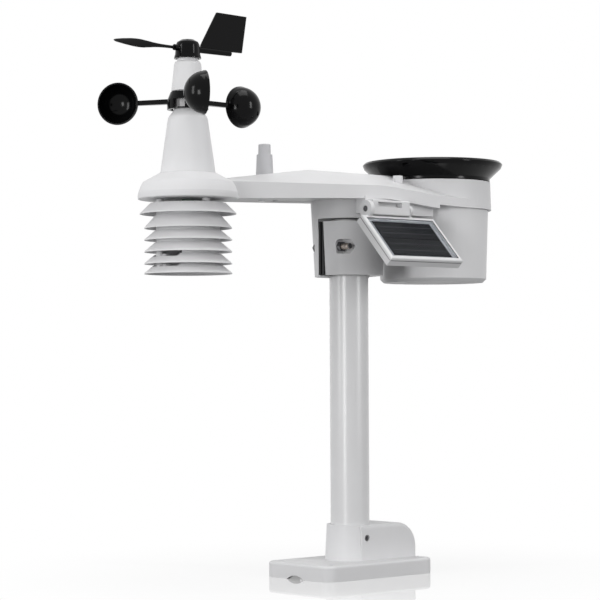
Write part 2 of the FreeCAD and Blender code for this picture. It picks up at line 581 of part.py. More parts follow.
def louvre(number, radius, low, neck, rise, sleeve, windows):
    """One plate: a sloping skirt, a flat crown with three posts, and the sleeve above it."""
    top = f"{low} + {rise}"
    skirt = turned(f"skirt_{number}",
                   [(radius, low), (f"{radius} - 0.2", f"{low} + 0.9"), (neck, top),
                    ("rod_ring - post_radius - 1.8", top),
                    ("rod_ring - post_radius - 1.8", f"{top} - plate_wall"),
                    (f"{neck} - 1", f"{top} - plate_wall"), (f"{radius} - 1.6", low)],
                   "tower_x")
    shell = skirt
    if number > 1:
        outer = cylinder(f"sleeve_{number}", "plate_neck - 1.05", f"{sleeve} + plate_wall",
                         ("tower_x", "0", f"{top} - plate_wall"))
        inner = cylinder(f"sleeve_void_{number}", "sleeve_inner", "30", ("tower_x", "0", f"{top} - 6"))
        shell = fuse(f"louvre_shell_{number}", skirt, cut(f"sleeve_wall_{number}", outer, inner))
    if windows:
        opening = box(f"window_{number}", ("tower_x - 40", "-window_near", f"{top} - plate_wall - 0.9"),
                      ("tower_x + 40", "window_far", f"{top} + 7"))
        keep = cylinder(f"window_keep_{number}", "plate_neck - 5", "40",
                        ("tower_x", "0", f"{low} - 10"))
        deep = box(f"window_deep_{number}",
                   ("tower_x - 40", "-window_near", f"{top} - plate_wall - 0.1"),
                   ("tower_x + 40", "2", f"{top} + 7"))
        shell = cut(f"louvre_open_{number}", shell, cut(f"window_way_{number}", opening, keep), deep)
    posts = []
    ways = []
    for i, angle in enumerate(rod_angles):
        at = ring_spot(angle, "rod_ring", f"{top} - plate_wall")
        posts.append(cylinder(f"louvre_post_{number}_{i}", "post_radius", f"{sleeve} + plate_wall", at))
        ways.append(cylinder(f"louvre_way_{number}_{i}", "rod_radius", "60",
                             ring_spot(angle, "rod_ring", f"{low} - 20")))
    return cut(f"louvre_{number}", fuse(f"louvre_block_{number}", shell, *posts), *ways)


node("louvre_1",
     louvre(1, "first_radius", "first_low", "first_neck", "first_rise",
            "hood_lip - first_low - first_rise", False))
for number in range(2, 7):
    low = f"plate_low + last_gap + {5 - number} * plate_gap" if number < 6 else "plate_low"
    step = "plate_gap" if number < 6 else "last_gap"
    above = f"({low} + {step} + plate_rise - plate_wall)"
    rise = "plate_rise"
    if number == 2:
        above = "(first_low + first_rise - plate_wall)"
        rise = "second_rise"
    if number == 3:
        above = f"({low} + {step} + second_rise - plate_wall)"
    node(f"louvre_{number}", louvre(number, "plate_radius", low, "plate_neck", rise,
                                    f"{above} - ({low} + {rise})", number > 4))

stalk = box("sensor_stalk", ("tower_x - 6", "-0.8", "282"), ("tower_x + 6", "0.8", "hood_part - 1.7"))
foot = box("sensor_foot", ("tower_x - 14", "-9", "hood_lip + 2"),
           ("tower_x + 14", "9", "hood_lip + 3.6"))
node("sensor_board", fuse("sensor_board", stalk, foot))
grille = cylinder("sensor_shell", "7.5", "18", ("tower_x", "0", "277"))
grille_void = box("sensor_slot", ("tower_x - 6", "-0.8", "282"), ("tower_x + 6", "0.8", "300"))
slits = [box(
             f"sensor_slit_{i}", ("tower_x - 3", "-9", f"280 + {i} * 4"),
             ("tower_x + 3", "9", f"282 + {i} * 4"))
         for i in range(3)]
node("sensor_cap",
     cut(
         "sensor_cap", grille, grille_void,
         cylinder("sensor_void", "6.3", "12", ("tower_x", "0", "279")), *slits))

# ---- wind tower ------------------------------------------------------------------------
tower = turned("tower_outer",
               [("0", "hood_top"), ("tower_base", "hood_top"), ("tower_neck", "tower_neck_z - 0.7"),
                ("tower_neck - 0.8", "tower_neck_z + 1.6"), ("tower_neck - 2.6", "tower_neck_z + 4"),
                ("tower_neck - 4.4", "tower_neck_z + 6.2"), ("tower_crown", "tower_top"),
                ("0", "tower_top")], "tower_x")
tower_void = turned("tower_inner",
                    [("0", "hood_top - 1"), ("tower_base - tower_wall", "hood_top - 1"),
                     ("tower_neck - tower_wall", "tower_neck_z"), ("0", "tower_neck_z + 4")],
                    "tower_x")
node("wind_tower",
     cut(
         "wind_tower", tower, tower_void,
         cylinder("tower_eye", "spigot_bore", "40", ("tower_x", "0", "tower_top - 20"))))
spigot = cylinder("spigot", "spigot_radius", "spigot_top - tower_top", ("tower_x", "0", "tower_top"))
node("centre_post",
     cut(
         "centre_post", spigot,
         cylinder("spigot_eye", "spigot_bore", "40", ("tower_x", "0", "tower_top - 20"))))
wind = cylinder("wind_disc", "12.5", "1.6", ("tower_x", "0", "tower_neck_z - 4"))
node("wind_board",
     fuse("wind_board", wind,
          box(
              "wind_chip", ("tower_x - 2", "-2", "tower_neck_z - 2.5"),
              ("tower_x + 2", "2", "tower_neck_z - 1.2"))))

cone_low = "spigot_top"
house = turned("vane_house",
               [("0", cone_low), ("vane_low", cone_low), ("vane_shoulder + 0.6", "vane_shoulder_z - 2"),
                ("vane_shoulder - 0.4", "vane_shoulder_z"), ("vane_neck", "vane_shoulder_z + 0.2"),
                ("vane_neck", "vane_neck_z"), ("0", "vane_neck_z")],
               "tower_x")
house_void = turned("vane_house_void",
                    [("4", f"{cone_low} + 2"), ("vane_low - 2", f"{cone_low} + 2"),
                     ("vane_shoulder - 2.2", "vane_shoulder_z - 3"), ("4", "vane_shoulder_z - 3")],
                    "tower_x")
seats = [cylinder(f"vane_seat_{i}", "4", "3.1", ("tower_x", "0", z))
         for i, z in enumerate(("spigot_top - 0.1", "vane_neck_z - 3"))]
eye = cylinder("vane_eye", "2", "60", ("tower_x", "0", "spigot_top - 10"))
node("vane_housing", cut("vane_housing", house, house_void, eye, *seats))
rings = [cut(f"vane_bush_{i}", cylinder(f"vane_bush_ring_{i}", "3.98", "3", ("tower_x", "0", z)),
             cylinder(f"vane_bush_eye_{i}", "shaft_radius + 0.05", "40", ("tower_x", "0", f"{z} - 20")))
         for i, z in enumerate(("spigot_top", "vane_neck_z - 3"))]
node("vane_bearings", group("vane_bearings", *rings))
node("rotor_bearing",
     cut(
         "rotor_bearing", cylinder("rotor_race", "hub_bore - 0.05", "5", ("tower_x", "0", "413")),
         cylinder("rotor_race_eye", "spigot_radius + 0.01", "40", ("tower_x", "0", "400"))))

# ---- cup rotor: hub with three arms, three cups ------------------------------------------
hub = turned("hub_turned",
             [("hub_radius - 2.7", "hub_low"), ("hub_radius", "hub_low"), ("hub_radius", "411.5"),
              ("hub_crown", "hub_high"), ("hub_bore", "hub_high"), ("hub_bore", "412.4"),
              ("hub_radius - 2.7", "412.4")],
             "tower_x")
spoke_angles = [f"rotor_phase + {i * 120}" for i in range(3)]


def cup_ball(name, radius, at):
    item = doc.addObject("Part::Sphere", f"cup_ball_{name}")
    bind(item, Radius=radius)
    return put(item, at)



spokes = []
windows = []
cups = []
for i, angle in enumerate(spoke_angles):
    degrees = value(angle)
    half = "spoke_width / 2"
    spoke = pressed(f"spoke_{i}", "XY_Plane",
                    [("hub_radius - 1.2", f"-{half} - 1"),
                     ("cup_ring - cup_radius + 2.2", f"-{half} - 1.6"),
                     ("cup_ring - cup_radius + 2.2", f"{half} - 2.6"),
                     ("hub_radius - 1.2", f"{half} + 1")],
                    "spoke_width", ("tower_x", "0", "cup_height - spoke_width / 2"))
    spokes.append(swung(f"spoke_at_{i}", spoke, degrees))
    window = box(f"hub_window_{i}", ("tower_x + 8", "-5.6", "hub_low + 1.1"),
                 ("tower_x + hub_radius + 3", "5.6", "412"))
    windows.append(swung(f"hub_window_at_{i}", window, degrees - 40))
    spot = ("tower_x + cup_ring", "0", "cup_height")
    shell = cut(f"cup_shell_{i}", cup_ball(i, "cup_radius + 0.1", spot),
                cup_ball(f"void_{i}", "cup_radius + 0.1 - cup_wall", spot))
    mouth = box(f"cup_mouth_{i}", ("tower_x + cup_ring - 20", "-20", "cup_height - 20"),
                ("tower_x + cup_ring + 20", "-0.01", "cup_height + 20"))
    cups.append(swung(f"cup_at_{i}", cut(f"cup_{i}", common(f"cup_half_{i}", shell, mouth), spoke),
                      degrees))
magnet = cylinder("magnet_block", "1.1", "2.6", ring_spot("64", "hub_radius - 1.35", "hub_low + 0.5"))
hub_whole = cut("hub_whole", fuse("hub_block", hub, *spokes), *windows)
node("rotor_hub", cut("rotor_hub", hub_whole, magnet))
node("rotor_cups", group("rotor_cups", *cups))
node("rotor_magnet",
     cylinder("rotor_magnet", "1.08", "2.5", ring_spot("64", "hub_radius - 1.35", "hub_low + 0.55")))

# ---- wind vane ------------------------------------------------------------------------------
cap = turned("cap_outer",
             [("0", "cap_low"), ("cap_radius", "cap_low"), ("cap_radius - 0.1", "cap_low + 1.3"),
              ("cap_waist + 0.5", "cap_low + 4"), ("cap_waist", "cap_top - 5.2"),
              ("cap_waist - 1.2", "cap_top - 2.6"), ("5.5", "cap_top - 0.6"), ("0", "cap_top")],
             "tower_x")
cap_void = cylinder("cap_void", "vane_neck + 0.9", "20", ("tower_x", "0", "vane_neck_z + 0.6 - 20"))
nose_stub = cylinder("nose_stub", "2.6", "6", ("tower_x - cap_radius - 3", "0", "vane_axis"), "x")
boom = cone("boom", "boom_radius + 0.3", "boom_radius", "boom_end - 6",
            ("tower_x + 6", "0", "vane_axis"), "x")
shaft_hole = cylinder("shaft_hole", "shaft_radius", "8", ("tower_x", "0", "vane_neck_z"))
fin_slot = pressed("fin_shape", "XZ_Plane",
                   [("13.4", "vane_axis + 1"), ("boom_end + 12.4", "vane_axis + 1.6"),
                    ("boom_end + 12.6", "vane_axis + 2"), ("boom_end + 17.9", "fin_top - 0.5"),
                    ("31.9", "fin_top"), ("14.6", "vane_axis + 5")],
                   "1.8", ("tower_x", "0", "0"), True)
cap_body = cut("cap_body", fuse("cap_block", cap, nose_stub), cap_void, shaft_hole, boom)
node("vane_cap", cap_body)
node("vane_boom", cut("vane_boom", boom, shaft_hole))
node("vane_fin", cut("vane_fin", fin_slot, boom, cap))
nose = pressed("nose_leaf", "XZ_Plane",
               [("-cap_radius - 2.8", "vane_axis - 2"), ("-26", "vane_axis - 3.6"),
                ("-46", "vane_axis - 4.4"), ("-66", "vane_axis - 2.4"),
                ("-nose_tip", "vane_axis + 0.2"), ("-66", "vane_axis + 2.6"),
                ("-46", "vane_axis + 4.2"), ("-26", "vane_axis + 3"),
                ("-cap_radius - 2.8", "vane_axis + 2")],
               "2.4", ("tower_x", "0", "0"), True)
node("vane_nose", cut("vane_nose", nose, nose_stub, cap))
node("vane_shaft",
     cylinder("vane_shaft", "shaft_radius", "452 - shaft_low", ("tower_x", "0", "shaft_low")))
disc = cylinder("vane_magnet_disc", "3.6", "3", ("tower_x", "0", "shaft_low + 1"))
node("vane_magnet",
     cut(
         "vane_magnet", disc,
         cylinder("vane_magnet_eye", "shaft_radius", "9", ("tower_x", "0", "shaft_low - 2"))))

# ---- rain gauge -----------------------------------------------------------------------------
pail = turned("pail",
              [("0", "bucket_floor"), ("bucket_low - 3", "bucket_floor"),
               ("bucket_low", "bucket_floor + 3"), ("bucket_top", "ring_low"),
               ("bucket_top", "bucket_rim"), ("bucket_top - bucket_wall", "bucket_rim"),
               ("bucket_top - bucket_wall", "ring_low"),
               ("bucket_low - bucket_wall", "bucket_floor + 4"),
               ("bucket_low - 4", "bucket_floor + bucket_wall"), ("0", "bucket_floor + bucket_wall")],
              "rain_x")
drains = [cylinder(f"drain_{i}", "3.2", "9", (f"rain_x + {x}", f"{y}", "bucket_floor - 2"))
          for i, (x, y) in enumerate([(26, 0), (-26, 0), (26, 8), (26, -8), (-26, 8), (-26, -8)])]
node("rain_housing", cut("rain_housing", pail, *drains))
bed = "bucket_floor + bucket_wall"
base = box("tipper_bed", ("rain_x - 18", "-20", bed), ("rain_x + 18", "20", f"{bed} + 2.5"))
cheeks = [pressed(f"tipper_cheek_{i}", "XZ_Plane",
                  [("-14", bed), ("14", bed), ("5", "tipper_z + 5"), ("-5", "tipper_z + 5")], "2.5",
                  ("rain_x", y, "0"))
          for i, y in enumerate(("19", "-16.5"))]
axle_way = cylinder("axle_way", "axle_radius + 0.05", "60", ("rain_x", "-30", "tipper_z"), "y")
stops = [box(f"tipper_stop_{i}", (f"rain_x + {a}", "-5", bed), (f"rain_x + {b}", "5", "tipper_z - 4.4"))
         for i, (a, b) in enumerate([(-26, -22), (22, 26)])]
sole = box("tipper_sole", ("rain_x - 27", "-6", bed), ("rain_x + 27", "6", f"{bed} + 2.5"))
node("tipper_stand", cut("tipper_stand", fuse("tipper_frame", base, sole, *cheeks, *stops), axle_way))
trough = pressed("trough", "XZ_Plane",
                 [("-31", "tipper_z + 4"), ("-3", "tipper_z - 4"), ("3", "tipper_z - 4"),
                  ("31", "tipper_z + 4"), ("0.8", "tipper_z + 16"), ("-0.8", "tipper_z + 16")],
                 "26", ("rain_x", "0", "0"), True)
chambers = [pressed(f"chamber_{i}", "XZ_Plane",
                    [(f"{s}0.8", "tipper_z - 1.8"), (f"{s}36", "tipper_z + 8.2"),
                     (f"{s}36", "tipper_z + 22"), (f"{s}0.8", "tipper_z + 22")],
                    "22.8", ("rain_x", "0", "0"), True)
            for i, s in enumerate(("", "-"))]
core = cylinder("tipper_core", "axle_radius + 1.6", "26", ("rain_x", "-13", "tipper_z"), "y")
core_way = cylinder("tipper_core_way", "axle_radius", "60", ("rain_x", "-30", "tipper_z"), "y")


def tipped(name, item):
    """The item as it lies at rest, leaning on the left stop."""
    copy = group(name, item)
    middle = V(value("rain_x"), 0, value("tipper_z"))
    copy.Placement = FreeCAD.Placement(V(), FreeCAD.Rotation(V(0, 1, 0), -value("tipper_tilt")), middle)
    return copy


level_bucket = cut("level_bucket", fuse("bucket_block", cut("bucket_open", trough, *chambers), core),
                   core_way)
node("tipping_bucket", tipped("tipping_bucket", level_bucket))
node("tipper_axle",
     cylinder("tipper_axle", "axle_radius", "42.8", ("rain_x", "-21.4", "tipper_z"), "y"))
node("tipper_magnet",
     tipped("tipper_magnet",
            cylinder("magnet_pill", "1.8", "1.6", ("rain_x", "13", "tipper_z + 8"), "y")))
slip = box("rain_slip", ("rain_x - 9", "21.5", "tipper_z - 16"),
           ("rain_x + 9", "23.1", "tipper_z + 20"))
switch = cylinder("reed_switch", "1.1", "12", ("rain_x - 6", "24", "tipper_z + 8"), "x")
node("rain_board", fuse("rain_board", slip, switch))

dish = turned("dish",
              [("51.2", "bucket_rim + 1"), ("51.2", "funnel_seat"), ("funnel_ring", "funnel_seat"),
               ("funnel_ring", "funnel_neck_z"), ("funnel_flare", "funnel_flare_z"),
               ("funnel_max", "funnel_max_z"), ("funnel_lip", "funnel_top"),
               ("funnel_lip - 1.6", "funnel_top - 0.9"),
               ("funnel_flare - funnel_wall - 0.6", "funnel_flare_z + 1.2"),
               ("51.2", "funnel_neck_z + 1"), ("7", "cone_low + 2.8"), ("spout_radius - 1", "cone_low"),
               ("spout_radius - 1", "spout_low"), ("spout_radius + 0.6", "spout_low"),
               ("spout_radius + 1", "cone_low - 1"), ("49.4", "funnel_neck_z - 2.2"),
               ("49.4", "bucket_rim + 1")],
              "rain_x")
node("rain_funnel", dish)
mesh_holes = [cylinder(f"screen_hole_{i}", "1.7", "9",
                       (f"rain_x + 8.4 * cos({i * 45})", f"8.4 * sin({i * 45})", "344"))
              for i in range(8)]
mesh_holes.append(cylinder("screen_eye", "2.4", "9", ("rain_x", "0", "344")))
node("debris_screen",
     cut(
         "debris_screen", cylinder("screen_disc", "13", "1.6", ("rain_x", "0", "cone_low + 5.6")),
         *mesh_holes))

# ---- solar panel on its bracket ---------------------------------------------------------------


def tilted(name, item):
    """The item hung on the hinge line at the panel's tilt."""
    copy = group(name, item)
    hinge = V(0, value("hinge_y"), value("hinge_z"))
    copy.Placement = FreeCAD.Placement(V(), FreeCAD.Rotation(V(1, 0, 0), value("panel_tilt")), hinge)
    return copy


def leaf(name, inset, low, high, left="panel_left", right="panel_right", near="panel_near",
         far="panel_far"):
    """A flat layer of the level panel, brought in by inset, between two heights over the hinge."""
    return box(name, (f"{left} + {inset}", f"hinge_y - ({far}) + {inset}", f"hinge_z + {low}"),
               (f"{right} - ({inset})", f"hinge_y - ({near}) - ({inset})", f"hinge_z + {high}"))


casing = leaf("panel_block", "0", "panel_rear", "panel_face")
casing = rounded("panel_edges", casing, "1.5",
                 lambda mid, edge: mid.z > value("hinge_z + panel_face") - 0.1)
ears = [cylinder("ear_left_disc", "ear_radius", "ear_right - ear_left",
                 ("ear_left", "hinge_y", "hinge_z"), "x"),
        cylinder("ear_right_disc", "4.6", "3.5", ("bracket_right + 0.5", "hinge_y", "hinge_z"), "x"),
        box(
            "ear_left_web", ("ear_left", "hinge_y - panel_near - 2", "hinge_z - ear_radius"),
            ("ear_right", "hinge_y", "hinge_z + panel_face")),
        box(
            "ear_right_web", ("bracket_right + 0.5", "hinge_y - panel_near - 2", "hinge_z - 4.6"),
            ("bracket_right + 4", "hinge_y", "hinge_z + panel_face"))]
pin_way = cylinder("pin_way", "axle_radius + 0.05", "70", ("-35", "hinge_y", "hinge_z"), "x")
pin_sink = cylinder("pin_sink", "2.9", "3.4", ("ear_left - 2", "hinge_y", "hinge_z"), "x")
front_well = leaf("front_well", "3.5", "panel_face - 2.6", "panel_face + 3")
rear_well = leaf("rear_well", "panel_wall", "panel_rear - 3", "panel_face - 4.2")
node("panel_frame",
     tilted("panel_frame",
            cut(
                "level_frame", fuse("frame_block", casing, *ears), front_well, rear_well, pin_way,
                pin_sink)))
node("panel_back",
     tilted("panel_back",
            leaf("level_back", "panel_wall + 0.02", "panel_rear + 0.4", "panel_rear + 2.2")))
glass = leaf("level_glass", "3.52", "panel_face - 1.5", "panel_face - 0.4")
node("panel_window", tilted("panel_window", glass))
middle = "(panel_near + panel_far) / 2"
cell_pair = [leaf("cell_near", "9", "panel_face - 2.6", "panel_face - 1.52", near="panel_near - 2.5",
                  far=f"{middle} + 8.6"),
             leaf("cell_far", "9", "panel_face - 2.6", "panel_face - 1.52", near=f"{middle} - 8.6",
                  far="panel_far + 2.5")]
node("solar_cells", tilted("solar_cells", group("level_cells", *cell_pair)))

arm_block = box("bracket_block", ("bracket_left", "bracket_front", "bracket_low"),
                ("bracket_right", "bracket_back", "bracket_high"))
arm_block = rounded("bracket_edges", arm_block, "1.2",
                    lambda mid, edge: mid.y < value("bracket_front") + 0.1)
slot = box("bracket_slot", ("-13", "bracket_front - 2", "327"),
           ("16.5", "bracket_front + 6.5", "331.2"))
pin_hole = cylinder("pin_hole", "axle_radius", "80", ("-40", "hinge_y", "hinge_z"), "x")
node("panel_bracket", cut("panel_bracket", arm_block, slot, pin_hole))
pin = cylinder("pin", "axle_radius", "bracket_right + 3.6 - ear_left - 1",
               ("ear_left + 1", "hinge_y", "hinge_z"), "x")
node("panel_hinge_pin",
     fuse("panel_hinge_pin", pin,
          cylinder("pin_head", "2.6", "0.9", ("ear_left + 0.3", "hinge_y", "hinge_z"), "x")))

# ---- check and write -----------------------------------------------------------------------------
doc.recompute()
for item in doc.Objects:
    assert not {"Invalid", "Error"} & set(item.State), item.Name
os.makedirs("parts", exist_ok=True)
for name, item in NODES.items():
    shape = item.Shape
    assert not shape.isNull() and shape.isValid() and shape.Solids, name
    shape.exportStep(os.path.join("parts", name + ".step"))
    print(f"{name}: {len(shape.Solids)} solid(s), {shape.Volume:.0f} mm3")
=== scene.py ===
# Home weather station on its short mast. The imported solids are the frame; each section
# below dresses one part of the object, in the order in which it is put together:
# foot, pole, arm, clamp, shield, tower, rotor, vane, rain gauge and solar panel.
import math

import bmesh
import bpy
from mathutils import Matrix, Vector


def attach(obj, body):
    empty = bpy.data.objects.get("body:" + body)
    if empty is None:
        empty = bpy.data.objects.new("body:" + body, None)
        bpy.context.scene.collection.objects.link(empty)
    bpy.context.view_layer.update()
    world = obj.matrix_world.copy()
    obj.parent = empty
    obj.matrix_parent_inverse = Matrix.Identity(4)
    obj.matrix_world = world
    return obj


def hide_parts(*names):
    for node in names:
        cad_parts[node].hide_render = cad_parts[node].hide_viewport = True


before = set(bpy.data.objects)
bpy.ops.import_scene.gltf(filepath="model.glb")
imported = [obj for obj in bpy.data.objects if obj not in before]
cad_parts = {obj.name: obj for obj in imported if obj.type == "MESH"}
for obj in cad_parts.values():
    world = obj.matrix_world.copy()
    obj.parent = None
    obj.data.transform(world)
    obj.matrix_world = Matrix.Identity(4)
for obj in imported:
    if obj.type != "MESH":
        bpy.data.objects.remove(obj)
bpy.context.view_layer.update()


# ---- Foot ------------------------------------------------------------------------
# The foot is a moulded plate of light grey ABS with a collar for the pole, a hump that
# stiffens it and four screw holes. A through screw and a nut lock the pole in the collar.
MM = 0.001
ABS_GREY = (0.690, 0.690, 0.700)
DUST_GREY, DUST_ROUGH = (0.46, 0.45, 0.42), 0.8
WORN_GREY, RUB_GAIN = (0.80, 0.80, 0.79), 5.0
GLOSS_SPREAD = 0.15

# Points this near are merged, and faces within this turn are one face. Corners are eased from
# so many degrees on, and the shading breaks only at corners a little sharper than that.
SAME_POINT = 0.002 * MM
ONE_FACE = math.radians(0.6)
EASED_FROM = 32.0
BREAK_BEYOND = 2.0


class Value:
    """A value in a node tree. A number takes + - * / < > there as a plain number does."""

    def __init__(self, socket):
        self.socket = socket

    def by(self, operation, *others, clamp=False):
        """The result of a Math node that has this value as its first input."""
        tree, inputs = self.socket.id_data, dict(enumerate((self, *others)))
        return Value(add(tree, "ShaderNodeMath", inputs, operation=operation, use_clamp=clamp).outputs[0])

    def __add__(self, other):
        return self.by("ADD", other)

    def __sub__(self, other):
        return self.by("SUBTRACT", other)

    def __rsub__(self, other):
        return self.by("MULTIPLY_ADD", -1.0, other)

    def __mul__(self, other):
        return self.by("MULTIPLY", other)

    def __truediv__(self, other):
        return self.by("DIVIDE", other)

    def __lt__(self, other):
        return self.by("LESS_THAN", other)

    def __gt__(self, other):
        return self.by("GREATER_THAN", other)


def wire(tree, item, inputs):
    """Sets a node's inputs, or wires them to a value, a socket or a node's first output."""
    for title, source in inputs.items():
        if isinstance(source, Value):
            source = source.socket
        elif isinstance(source, bpy.types.Node):
            source = source.outputs[0]
        if isinstance(source, bpy.types.NodeSocket):
            tree.links.new(source, item.inputs[title])
        else:
            item.inputs[title].default_value = source


def add(tree, kind, inputs, **settings):
    """Adds a node of this kind, with its settings and then its inputs."""
    item = tree.nodes.new(kind)
    for title, setting in settings.items():
        setattr(item, title, setting)
    wire(tree, item, inputs)
    return item


def new_group(name, sizes, results):
    """An empty shader group; its tree, a function that gives its inputs by name, and its end."""
    group = bpy.data.node_groups.new(name, "ShaderNodeTree")
    kind = "NodeSocketFloat"
    for title, default in sizes.items():
        group.interface.new_socket(title, in_out="INPUT", socket_type=kind).default_value = default
    for title in results:
        group.interface.new_socket(title, in_out="OUTPUT", socket_type=kind)
    start = group.nodes.new("NodeGroupInput")
    return group, lambda title: Value(start.outputs[title]), group.nodes.new("NodeGroupOutput")


def noise(tree, scale, detail, roughness=0.5):
    """A noise pattern fixed to the piece's own coordinates."""
    place = add(tree, "ShaderNodeTexCoord", {}).outputs["Object"]
    return add(tree, "ShaderNodeTexNoise", {
        "Vector": place, "Scale": scale, "Detail": detail, "Roughness": roughness})


# The fine spark texture of the mould, with slow patches where the resin sits differently.
mould_grain, given, end = new_group("mould_grain", {"Size": 1400.0, "Patches": 26.0}, ("Height", "Tone"))
wire(mould_grain, end, {
    "Height": noise(mould_grain, given("Size"), detail=3.0, roughness=0.6),
    "Tone": noise(mould_grain, given("Patches"), detail=4.0, roughness=0.55)})

# Corners that hands and weather have rubbed: where a rounded normal leaves the face's own.
rubbed_edge, given, end = new_group("rubbed_edge", {"Width": 0.8 * MM, "Breakup": 240.0}, ("Mask",))
rounded = add(rubbed_edge, "ShaderNodeBevel", {"Radius": given("Width")}, samples=4)
true = add(rubbed_edge, "ShaderNodeNewGeometry", {}).outputs["Normal"]
likeness = add(rubbed_edge, "ShaderNodeVectorMath", {0: rounded, 1: true}, operation="DOT_PRODUCT")
rubbed = (1.0 - Value(likeness.outputs["Value"])).by("MULTIPLY", RUB_GAIN, clamp=True)
wire(rubbed_edge, end, {"Mask": rubbed * noise(rubbed_edge, given("Breakup"), detail=3.0)})

# Outdoor dust: a thin film on what faces up, gathered in soft patches.
settled_dust, given, end = new_group("settled_dust", {"Amount": 0.2, "Patches": 60.0}, ("Mask",))
normal = add(settled_dust, "ShaderNodeNewGeometry", {}).outputs["Normal"]
upward = Value(add(settled_dust, "ShaderNodeSeparateXYZ", {0: normal}).outputs["Z"])
film = upward.by("MAXIMUM", 0.0).by("POWER", 2.0) * noise(settled_dust, given("Patches"), detail=5.0)
wire(settled_dust, end, {"Mask": film * given("Amount")})


def placed(tree, group, **sizes):
    """One use of a shader group, with its own sizes."""
    inputs = {key.capitalize(): size for key, size in sizes.items()}
    return add(tree, "ShaderNodeGroup", inputs, node_tree=group)


def blend(tree, share, first, second):
    """A colour between two others, by a share from 0 to 1."""
    return add(tree, "ShaderNodeMix", {0: share, 6: first, 7: second}, data_type="RGBA").outputs[2]


def moulded(name, colour, rough, tone=0.05, grain=0.03 * MM, size=1400.0, wear=0.25, worn=WORN_GREY,
            width=0.6 * MM, dust=0.1, metal=0.0, coat=0.0, coat_rough=0.1, glint=0.5):
    """A moulded or painted finish: toned colour, mould grain, rubbed corners and a film of dust."""
    material = bpy.data.materials.new(name)
    material.use_nodes = True
    tree = material.node_tree
    skin = tree.nodes["Principled BSDF"]
    grained = placed(tree, mould_grain, size=size)
    patches = Value(grained.outputs["Tone"])
    dark, light = ([channel * factor for channel in colour] + [1.0] for factor in (1 - tone, 1 + tone))
    shade = blend(tree, patches, dark, light)
    roughness = patches.by("MULTIPLY_ADD", 2 * GLOSS_SPREAD * rough, (1 - GLOSS_SPREAD) * rough)
    if wear:
        edge = Value(placed(tree, rubbed_edge, width=width).outputs["Mask"])
        shade = blend(tree, edge.by("MULTIPLY", wear, clamp=True), shade, [*worn, 1.0])
    if dust:
        film = Value(placed(tree, settled_dust, amount=dust).outputs["Mask"])
        shade = blend(tree, film, shade, [*DUST_GREY, 1.0])
        roughness = film.by("MULTIPLY_ADD", DUST_ROUGH, roughness, clamp=True)
    if grain:
        pits = {"Height": grained.outputs["Height"], "Distance": grain, "Strength": 1.0}
        wire(tree, skin, {"Normal": add(tree, "ShaderNodeBump", pits)})
    wire(tree, skin, {"Base Color": shade, "Roughness": roughness, "Metallic": metal, "Coat Weight": coat,
                      "Coat Roughness": coat_rough, "Specular IOR Level": glint})
    return material


def piece_from(name, mesh, material, body, slot, *nodes):
    """Puts a finished mesh in the scene: its material, its body and the nodes it stands for; the slot is not
    used.
    """
    piece = bpy.data.objects.new(name, mesh)
    bpy.context.scene.collection.objects.link(piece)
    mesh.name = name
    mesh.materials.clear()
    mesh.materials.append(material)
    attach(piece, body)
    if nodes:
        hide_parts(*nodes)
    return piece


def baked(maker):
    """The mesh that an object's modifiers make; the object itself goes."""
    mesh = bpy.data.meshes.new_from_object(maker.evaluated_get(bpy.context.evaluated_depsgraph_get()))
    bpy.data.objects.remove(maker)
    return mesh


def softened(node, name, material, body, slot, width=0.5 * MM, lean=EASED_FROM, shaped=None):
    """The node's own shape, changed by shaped() if given, with its sharp corners eased."""
    build = bmesh.new()
    build.from_mesh(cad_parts[node].data)
    bmesh.ops.remove_doubles(build, verts=build.verts, dist=SAME_POINT)
    bmesh.ops.dissolve_limit(build, angle_limit=ONE_FACE, verts=build.verts, edges=build.edges)
    if shaped:
        shaped(build)
    mesh = bpy.data.meshes.new(name)
    build.to_mesh(mesh)
    build.free()
    mesh.shade_smooth()
    mesh.set_sharp_from_angle(angle=math.radians(lean + BREAK_BEYOND))
    raw = bpy.data.objects.new(name + "_raw", mesh)
    bpy.context.scene.collection.objects.link(raw)
    ease = raw.modifiers.new("eased_corners", "BEVEL")
    ease.width = width
    ease.segments = 2
    ease.limit_method = "ANGLE"
    ease.angle_limit = math.radians(lean)
    ease.use_clamp_overlap = True
    raw.modifiers.new("flat_faces_stay_flat", "WEIGHTED_NORMAL").keep_sharp = True
    return piece_from(name, baked(raw), material, body, slot, node)


def dress(material, *nodes):
    """Gives the CAD nodes their finish."""
    for node in nodes:
        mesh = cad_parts[node].data
        mesh.materials.clear()
        mesh.materials.append(material)


foot_abs = moulded("foot_abs", ABS_GREY, 0.42, glint=0.2)
softened("mount_base", "foot_plate", foot_abs, "mast", "white_plastic", width=0.7 * MM)


# ---- Pole ------------------------------------------------------------------------
# A plain 35 mm aluminium tube, painted light grey and left slightly glossy. The socket
# screw that locks it in the foot sits deep in its hole with its nut behind, both painted dark for the shade
# in the hole.
pole_paint = moulded("pole_paint", (0.640, 0.640, 0.648), 0.32, tone=0.03, grain=0.01 * MM, size=900.0,
                     wear=0.1, dust=0.06, coat=0.4, coat_rough=0.26)
# Steel painted dark: the shade deep in holes and hex wells, painted into its screws, nuts, bolts and pin.
dark_steel = moulded("dark_steel", (0.13, 0.13, 0.135), 0.36, tone=0.2, grain=0.01 * MM, size=2600.0,
                     wear=0.2, worn=(0.30, 0.30, 0.30), dust=0.05, metal=1.0)
zinc = moulded("zinc_steel", (0.50, 0.50, 0.51), 0.34, tone=0.12, grain=0.01 * MM, size=2600.0, wear=0.3,
               worn=(0.70, 0.70, 0.68), dust=0.05, metal=1.0)
dress(pole_paint, "pole_tube")
dress(dark_steel, "pole_lock_screw", "pole_lock_nut")


